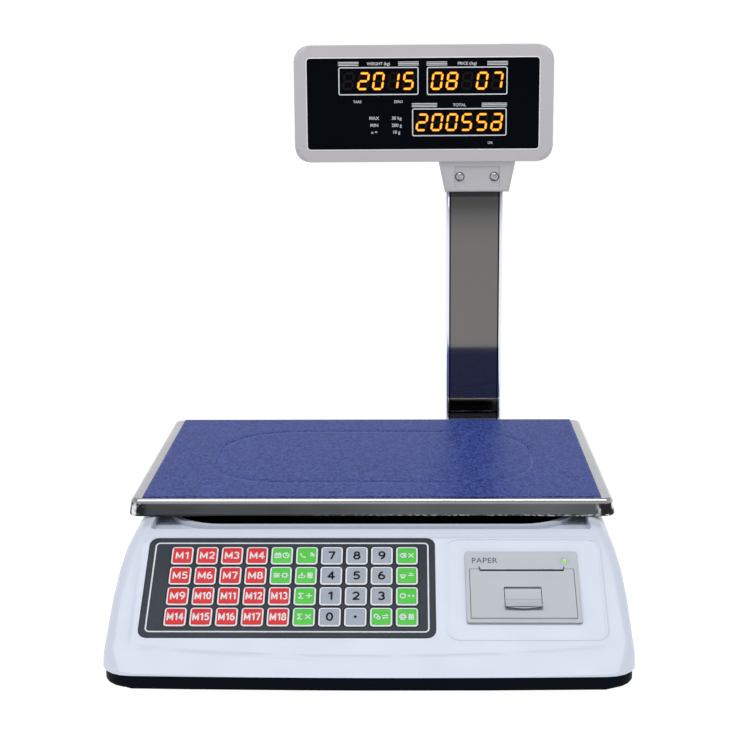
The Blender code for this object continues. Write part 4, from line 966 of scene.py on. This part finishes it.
def picture(name, centre, half, width, low, high):
    """The named picture's bars and rings, sized so that 1 is half, about the centre."""
    lines, rings = PICTURES[name]
    def spot(x, y):
        return centre[0] + half * x, centre[1] + half * y

    parts = [bar for points in lines for bar in line([spot(*point) for point in points], width, low, high)]
    parts += [ring(spot(*point), half * r + width / 2, width, low, high) for point, r in rings]
    return parts


function_parts = [
    bar for label, (x, y) in FUNCTIONS for side, name in zip((-1, 1), PAIRS[label].split())
    for bar in picture(name, (x + side * PICTURE_APART, y), PICTURE_HALF, PICTURE_LINE, LEGEND_LOW,
                       LEGEND_HIGH)
]
make("function_legends", gather(function_parts), DECK, white_ink, "base", smooth=False)

# %% [markdown]
# ## The printer's face
# The slip printer is a bought module clipped into the deck. Its face frame is one moulding with an eased rim,
# drawn here as rings of points: up the outside, over the edge, across the face and down into the opening.
# The finger lever lies flush in the lid, and only its lower lip stands out: a small hooked section carried
# across the lever, which bows down in the middle. Below the lip the lid is scooped out for a fingertip.

# %% Frame, lever lip and scoop
lever_low, _ = extent("release_lever", DECK)
lid_low, lid_high = extent("printer_lid", DECK)
bezel_low, bezel_high = extent("printer_frame", DECK)
light_low, light_high = extent("status_led", DECK)
printer_middle = (bezel_low[0] + bezel_high[0]) / 2
BEZEL_TOP = bezel_high[2] + 0.04
LID_FACE = BEZEL_TOP - 0.04
print("printer face", bezel_low.round(1), bezel_high.round(1), "lid", lid_low.round(1), lid_high.round(1))


def bezel_rings():
    """Outer rectangle up, over a quarter circle, across to the opening's rectangle and down inside it."""
    face_size = (bezel_high - bezel_low)[:2] + 0.1
    face_middle = ((bezel_high + bezel_low) / 2)[:2]
    open_low, open_high = lid_low[:2] - (0.35, 0.42), lid_high[:2] + (0.35, 0.3)
    open_size, open_middle = open_high - open_low, (open_high + open_low) / 2
    turn = np.linspace(0, pi / 2, 4)
    steps = [(face_size, face_middle, 1.6, 0.0, BEZEL_TOP - 1.5)]
    steps += [(face_size, face_middle, 1.6, 0.5 * (1 - cos(t)), BEZEL_TOP - 0.5 * (1 - sin(t))) for t in turn]
    steps += [(face_size, face_middle, 1.6, 0.8, BEZEL_TOP)]
    steps += [(open_size, open_middle, 0.5, inset, BEZEL_TOP - drop)
              for inset, drop in ((-0.3, 0.0), (-0.15, 0.0), (0.0, 0.15), (0.0, 1.5))]
    rings = [np.column_stack([rounded(tuple(size - 2 * inset), max(radius - inset, 0.1), middle, 5),
                              np.full(24, level)]) for size, middle, radius, inset, level in steps]
    return skin(np.array(rings), loop=True)


make("printer_bezel", bezel_rings(), DECK, FINISH["printer_plastic"], "base")

LEVER_HALF, LIP_BOW = 12.1, 1.9
LIP_SECTION = [(7.0, -0.02), (5.2, 0.10), (3.4, 0.45), (2.0, 1.0), (0.9, 1.6), (0.35, 1.8), (0.0, 1.72),
               (-0.1, 1.4), (0.5, 0.8), (2.0, 0.0), (4.0, -0.6), (7.0, -0.9)]


def lever_lip():
    """The section at 25 places; each point drops by the bow times 1 - right squared times its share."""
    across = np.linspace(-1, 1, 25)
    section = np.array(LIP_SECTION)
    share = np.clip(1 - section[:, 0] / 7.0, 0, 1)
    up = lever_low[1] + 0.9 + section[None, :, 0] - LIP_BOW * (1 - across[:, None] ** 2) * share
    out = LID_FACE + section[None, :, 1] * np.ones((25, 1))
    right = printer_middle + LEVER_HALF * across[:, None] * np.ones_like(up)
    return skin(np.stack([right, up, out], -1))


def finger_scoop(right, up):
    """Height of the scoop: it sinks with the distance above its lower edge, and turns up at its two ends."""
    rise = np.clip((up - SCOOP_LOW[1]) / (SCOOP_HIGH[1] - SCOOP_LOW[1]), 0, 1)
    end = np.clip((np.abs(right - printer_middle) - 11.4) / 1.0, 0, 1)
    return LID_FACE - 0.05 - 2.0 * rise ** 0.8 * (1 - 0.6 * end)


SCOOP_LOW = np.array([printer_middle - 12.45, lever_low[1] - 1.65])
SCOOP_HIGH = SCOOP_LOW + (24.9, 5.2)
make("lever_lip", lever_lip(), DECK, FINISH["printer_plastic"], "release_lever")
make("finger_scoop", sheet_grid(SCOOP_LOW, SCOOP_HIGH, (40, 12), finger_scoop, LID_FACE - 2.35), DECK,
     FINISH["printer_plastic"], "printer_lid")

# %% Marks on the printer's face
dark_groove = bold_print("groove_shadow", tone(66, 69, 75), 0.6)
slate_mark = bold_print("slate_mark", tone(74, 84, 104), 0.5)
name_word = word("PAPER", 4.1, (0, 0), BEZEL_TOP - 0.05, BEZEL_TOP + 0.03, bold=0.012, spacing=1.06)
name_word[0][:, 0] += bezel_low[0] + 4.6 - name_word[0][:, 0].min()
name_word[0][:, 1] += bezel_high[1] - 7.4
print("paper sign is", round(float(np.ptp(name_word[0][:, 0])), 1), "mm wide")
make("paper_sign", name_word, DECK, slate_mark, "base", smooth=False)
SLOT_HALF = 28.3
slot_parts = []
for side in (-1, 1):
    end = printer_middle + side * (SLOT_HALF + 0.1)
    slot_parts += line([(end - side * 0.7, lid_high[1] + 0.35), (end, lid_high[1] + 0.7), (end + side * 0.1,
                       lid_high[1] + 2.0)], 0.75, BEZEL_TOP - 0.05, BEZEL_TOP + 0.02)
make("slot_ends", gather(slot_parts), DECK, dark_groove, "base", smooth=False)
light_at = tuple(((light_low + light_high) / 2)[:2])
make("status_light_ring", trim((6.4, 6.4), 3.2, 0.6, BEZEL_TOP - 0.3, BEZEL_TOP + 0.12, light_at, 6), DECK,
     FINISH["printer_plastic"], "base")

# %% [markdown]
# ## The lit displays
# Behind each black window stand three rows of seven-segment figures. A lit segment is brightest down its
# middle, where the diode sits, and turns red at its edges. So each segment is a low six-sided ridge, with a
# number stored at its points: 0 round the edge and 1 along the middle. The finish turns that number into
# red, orange and yellow light. Unlit segments are the same shapes in a colour just off black.

# %% Head surfaces and the window
front_window_low, front_window_high = extent("head_front_window", TOP)
_, rear_window_high = extent("head_rear_window", TOP)
window_middle = (front_window_low + front_window_high) / 2
window_size = (front_window_high[0] - front_window_low[0], front_window_high[2] - front_window_low[2])
FRONT_FACE = surface((window_middle[0], front_window_low[1], window_middle[2]), (1, 0, 0), (0, 0, 1))
REAR_FACE = surface((window_middle[0], rear_window_high[1], window_middle[2]), (-1, 0, 0), (0, 0, 1))
DISPLAY_SIDES = (("front", FRONT_FACE, "head_front_window"), ("rear", REAR_FACE, "head_rear_window"))
# The light rim round each window is a painted highlight: a raised light grey band for the light caught by its
# edge.
painted_rim_highlight = moulded("rim_grey", tone(226, 226, 228), 0.4, 0.5, 0.01, 0.02, shade_and_dirt=0.1)
window_black = Recipe("window_acrylic")
window_colour = window_black.blend(window_black.noise(40.0, 3.0), tone(1, 3, 8), tone(2, 6, 12))
window_black.set(window_black.shader, Base_Color=window_colour,
                 Roughness=window_black.between(window_black.noise(25.0, 4.0), 0.2, 0.3),
                 Normal=window_black.bump(window_black.noise(50.0, 1.0), 0.01, 0.4))
window_black.shader.inputs["Specular IOR Level"].default_value = 0.025
WINDOW_CORNER, RIM_WIDTH, RIM_OUTSIDE = 2.7, 0.8, 1.2
window_plate = plate(window_size, WINDOW_CORNER, eased(-2.0, 0.0, 0.3, 3))
rim_size = (window_size[0] + RIM_OUTSIDE, window_size[1] + RIM_OUTSIDE)
window_rim = trim(rim_size, 3.4, RIM_WIDTH, -0.6, 0.42, around=4)
for side, face, node in DISPLAY_SIDES:
    make(side + "_window", window_plate, face, window_black.material, "base", [node])
    make(side + "_window_rim", window_rim, face, painted_rim_highlight, "base")

# %% Printed frames, lines and units on the window
BOXES = {"weight": ((-36.8, 18.8), (66.3, 22.8), 5), "price": ((36.5, 18.6), (66.6, 22.9), 5),
         "total": ((30.2, -15.2), (78.4, 22.8), 6)}
LEGENDS = {"weight": "WEIGHT (kg)", "price": "PRICE (/kg)", "total": "TOTAL"}
PRINT_LOW, PRINT_HIGH = -0.02, 0.03
SHORT_LINE = 0.62


def window_print():
    """Rounded frames, three short lines either side of each legend, and the small words."""
    parts = []
    for name, (middle, size, _) in BOXES.items():
        parts.append(trim(size, 1.6, 0.85, PRINT_LOW, PRINT_HIGH, middle, 4))
        over = middle[1] + size[1] / 2
        reach = 16.6 if name != "total" else 20.5
        for level in (1.5, 2.75, 4.0):
            for turn in (-1, 1):
                outer = middle[0] + turn * size[0] / 2
                ends = (outer, over + level), (outer - turn * reach, over + level)
                parts.append(stroke(*ends, SHORT_LINE, PRINT_LOW, PRINT_HIGH, 2))
        parts.append(word(LEGENDS[name], 2.3, (middle[0], over + 2.75), PRINT_LOW, PRINT_HIGH, bold=0.01))
    for text, at, height in (
        ("TARE", (-54.5, 1.9), 2.0), ("ZERO", (-20.5, 1.9), 2.0), ("MAX", (-40.5, -11.6), 2.6),
        ("MIN", (-40.5, -17.4), 2.6), ("e =", (-40.5, -23.1), 2.6), ("30 kg", (-21.8, -11.6), 2.6),
        ("200 g", (-21.8, -17.4), 2.6), ("10 g", (-21.8, -23.1), 2.6), ("OK", (56.0, -32.3), 2.0),
    ):
        parts.append(word(text, height, at, PRINT_LOW, PRINT_HIGH, bold=0.006))
    return gather(parts)


window_ink = bold_print("window_ink", tone(205, 208, 212), 0.45)
for side, face, _ in DISPLAY_SIDES:
    make(side + "_window_print", window_print(), face, window_ink, "base", smooth=False)

# %% [markdown]
# ## The two screws in the neck
# A pan-head screw is a low dome with a cross sunk in it. Worked out as a height over radius and angle, the
# cross is simply where a point lies close to either of two lines, so no cutting tool is needed.

# %% Screw heads
HEAD_RADIUS, HEAD_DOME, CROSS_HALF, CROSS_REACH = 3.3, 1.5, 0.55, 2.1


def screw_head(centre, seat, turned_by):
    """Dome height times the root of 1 - r squared, less 0.8 mm where a point is near a line of the cross."""
    share = np.array([1.0, 1.0, 0.97, 0.9, 0.8, 0.7, 0.62, 0.54, 0.44, 0.34, 0.25, 0.17, 0.1, 0.03])[:, None]
    angle = np.linspace(0, 2 * pi, 48, endpoint=False)[None] + turned_by
    right, up = HEAD_RADIUS * share * np.cos(angle), HEAD_RADIUS * share * np.sin(angle)
    a = right * cos(turned_by) + up * sin(turned_by)
    b = -right * sin(turned_by) + up * cos(turned_by)
    near = np.minimum(np.abs(a), np.abs(b))
    sunk = (np.clip((CROSS_HALF + 0.15 - near) / 0.3, 0, 1)
            * np.clip((CROSS_REACH - np.hypot(a, b)) / 0.3, 0, 1))
    out = seat + HEAD_DOME * np.sqrt(np.clip(1.02 - share ** 2, 0, 1)) * np.ones_like(right) - 0.8 * sunk
    out[0] = seat - 0.8
    return skin(np.stack([centre[0] + right, centre[1] + up, out], -1))


shadow_paint = bold_print("screw_gap", tone(52, 56, 62), 0.6)
screw_gaps = []
for side, turned_by in (("left", 0.5), ("right", 1.1)):
    screw_low, screw_high = extent("neck_screw_" + side, FRONT_FACE)
    screw_at, screw_seat = ((screw_low + screw_high) / 2)[:2], screw_high[2] - 1.9
    make(f"neck_screw_{side}_head", screw_head(screw_at, screw_seat, turned_by), FRONT_FACE, FINISH["steel"],
         "base", ["neck_screw_" + side])
    screw_gaps.append(ring(screw_at, HEAD_RADIUS + 0.55, 0.6, screw_seat - 0.1, screw_seat + 0.06, 28))
make("screw_gaps", gather(screw_gaps), FRONT_FACE, shadow_paint, "base")

# %% Seven-segment figures
FIGURE_PITCH, FIGURE_HALF, SEGMENT = 12.4, (3.75, 6.4), 2.1
FIGURE_LEAN = radians(8)
SEGMENT_ENDS = {
    "a": ((-1, 1), (1, 1)), "b": ((1, 1), (1, 0)), "c": ((1, 0), (1, -1)), "d": ((-1, -1), (1, -1)),
    "e": ((-1, 0), (-1, -1)), "f": ((-1, 1), (-1, 0)), "g": ((-1, 0), (1, 0)),
}
LIT = {"0": "abcdef", "1": "bc", "2": "abdeg", "5": "acdfg", "7": "abc", "8": "abcdefg", "a": "abcdeg",
       " ": ""}
SHOWN = {"weight": " 2015", "price": "08 07", "total": "20055a"}


def segment(name, centre):
    """A six-sided ridge between two corners of a figure, and the number that is 1 down its middle."""
    start, end = (np.array(p, float) * FIGURE_HALF for p in SEGMENT_ENDS[name])
    along = (end - start) / np.linalg.norm(end - start)
    across = np.array([-along[1], along[0]])
    start, end = start + 0.28 * along, end - 0.28 * along
    rings = []
    for width, shorten, height in ((SEGMENT, 0.0, -0.02), (SEGMENT, 0.0, 0.03), (SEGMENT * 0.78, 0.1, 0.05),
                                   (SEGMENT * 0.46, 0.3, 0.08)):
        half = width / 2
        a, b = start + shorten * along, end - shorten * along
        outline = np.array([a, a + half * (along - across), b - half * (along + across), b,
                            b - half * (along - across), a + half * (along + across)])
        outline[:, 0] += outline[:, 1] * tan(FIGURE_LEAN)
        rings.append(np.column_stack([outline + centre, np.full(6, height)]))
    points, faces = skin(np.array(rings))
    return np.column_stack([points, np.repeat([0.0, 0.0, 0.5, 1.0], 6)]), faces


def figures(lit):
    """Every segment of every figure that is lit, or every one that is not."""
    parts = []
    for name, (middle, _, count) in BOXES.items():
        for index, shown in enumerate(SHOWN[name]):
            centre = np.array([middle[0] + (index - (count - 1) / 2) * FIGURE_PITCH, middle[1]])
            parts += [segment(bar, centre) for bar in "abcdefg" if (bar in LIT[shown]) == lit]
    return gather(parts)


glow = Recipe("lit_segment")
heat = glow.add("Attribute", {"attribute_name": "warmth"}).outputs["Fac"]
ramp = glow.add("ValToRGB", Fac=heat)
ramp.color_ramp.elements[0].color = tone(200, 22, 2)
ramp.color_ramp.elements[1].color = tone(255, 208, 62)
ramp.color_ramp.elements.new(0.5).color = tone(255, 118, 16)
flicker = glow.between(glow.noise(2.2, 2.0), 1.0, 1.5)
glow.set(glow.shader, Emission_Color=ramp.outputs["Color"], Emission_Strength=flicker,
         Base_Color=glow.blend(flicker, tone(60, 8, 4), tone(90, 16, 6)))
glow.shader.inputs["Roughness"].default_value = 0.4
glow.shader.inputs["Specular IOR Level"].default_value = 0.1
ghost = bold_print("unlit_segment", tone(17, 9, 9), 0.3)
dull(ghost, 0.08)
for side, face, _ in DISPLAY_SIDES:
    lit_shape = figures(True)
    item = make(side + "_lit_figures", lit_shape, face, glow.material, "base",
                [f"{side}_{name}_digits" for name in BOXES], smooth=False)
    heat_data = item.data.attributes.new("warmth", "FLOAT", "POINT")
    heat_data.data.foreach_set("value", lit_shape[0][:, 3].astype(np.float32))
    make(side + "_unlit_figures", figures(False), face, ghost, "base", smooth=False)

# %% [markdown]
# ## Floor
# The floor is a plain wide sheet at the height of the feet. It is part of the stage. Looks must not make the
# scale bigger.

FLOOR_HALF = 30000.0
floor_mesh = bpy.data.meshes.new("floor")
floor_mesh.from_pydata([(x * FLOOR_HALF / 1000, y * FLOOR_HALF / 1000, -0.0002)
                        for x, y in ((-1, -1), (1, -1), (1, 1), (-1, 1))], [], [(0, 1, 2, 3)])
floor = bpy.data.objects.new("floor", floor_mesh)
bpy.context.scene.collection.objects.link(floor)
paper = Recipe("white_sheet")
paper_drift = paper.between(paper.noise(400.0, 3.0), 0.14, 0.16)
paper_grey = paper.add("CombineColor", i0=paper_drift, i1=paper_drift, i2=paper_drift).outputs[0]
paper.set(paper.shader, Base_Color=paper_grey)
paper.shader.inputs["Roughness"].default_value = 0.9
paper.shader.inputs["Emission Color"].default_value = (1, 1, 1, 1)
paper.shader.inputs["Emission Strength"].default_value = 0.98
paper.shader.inputs["Specular IOR Level"].default_value = 0.0
floor_mesh.materials.append(paper.material)
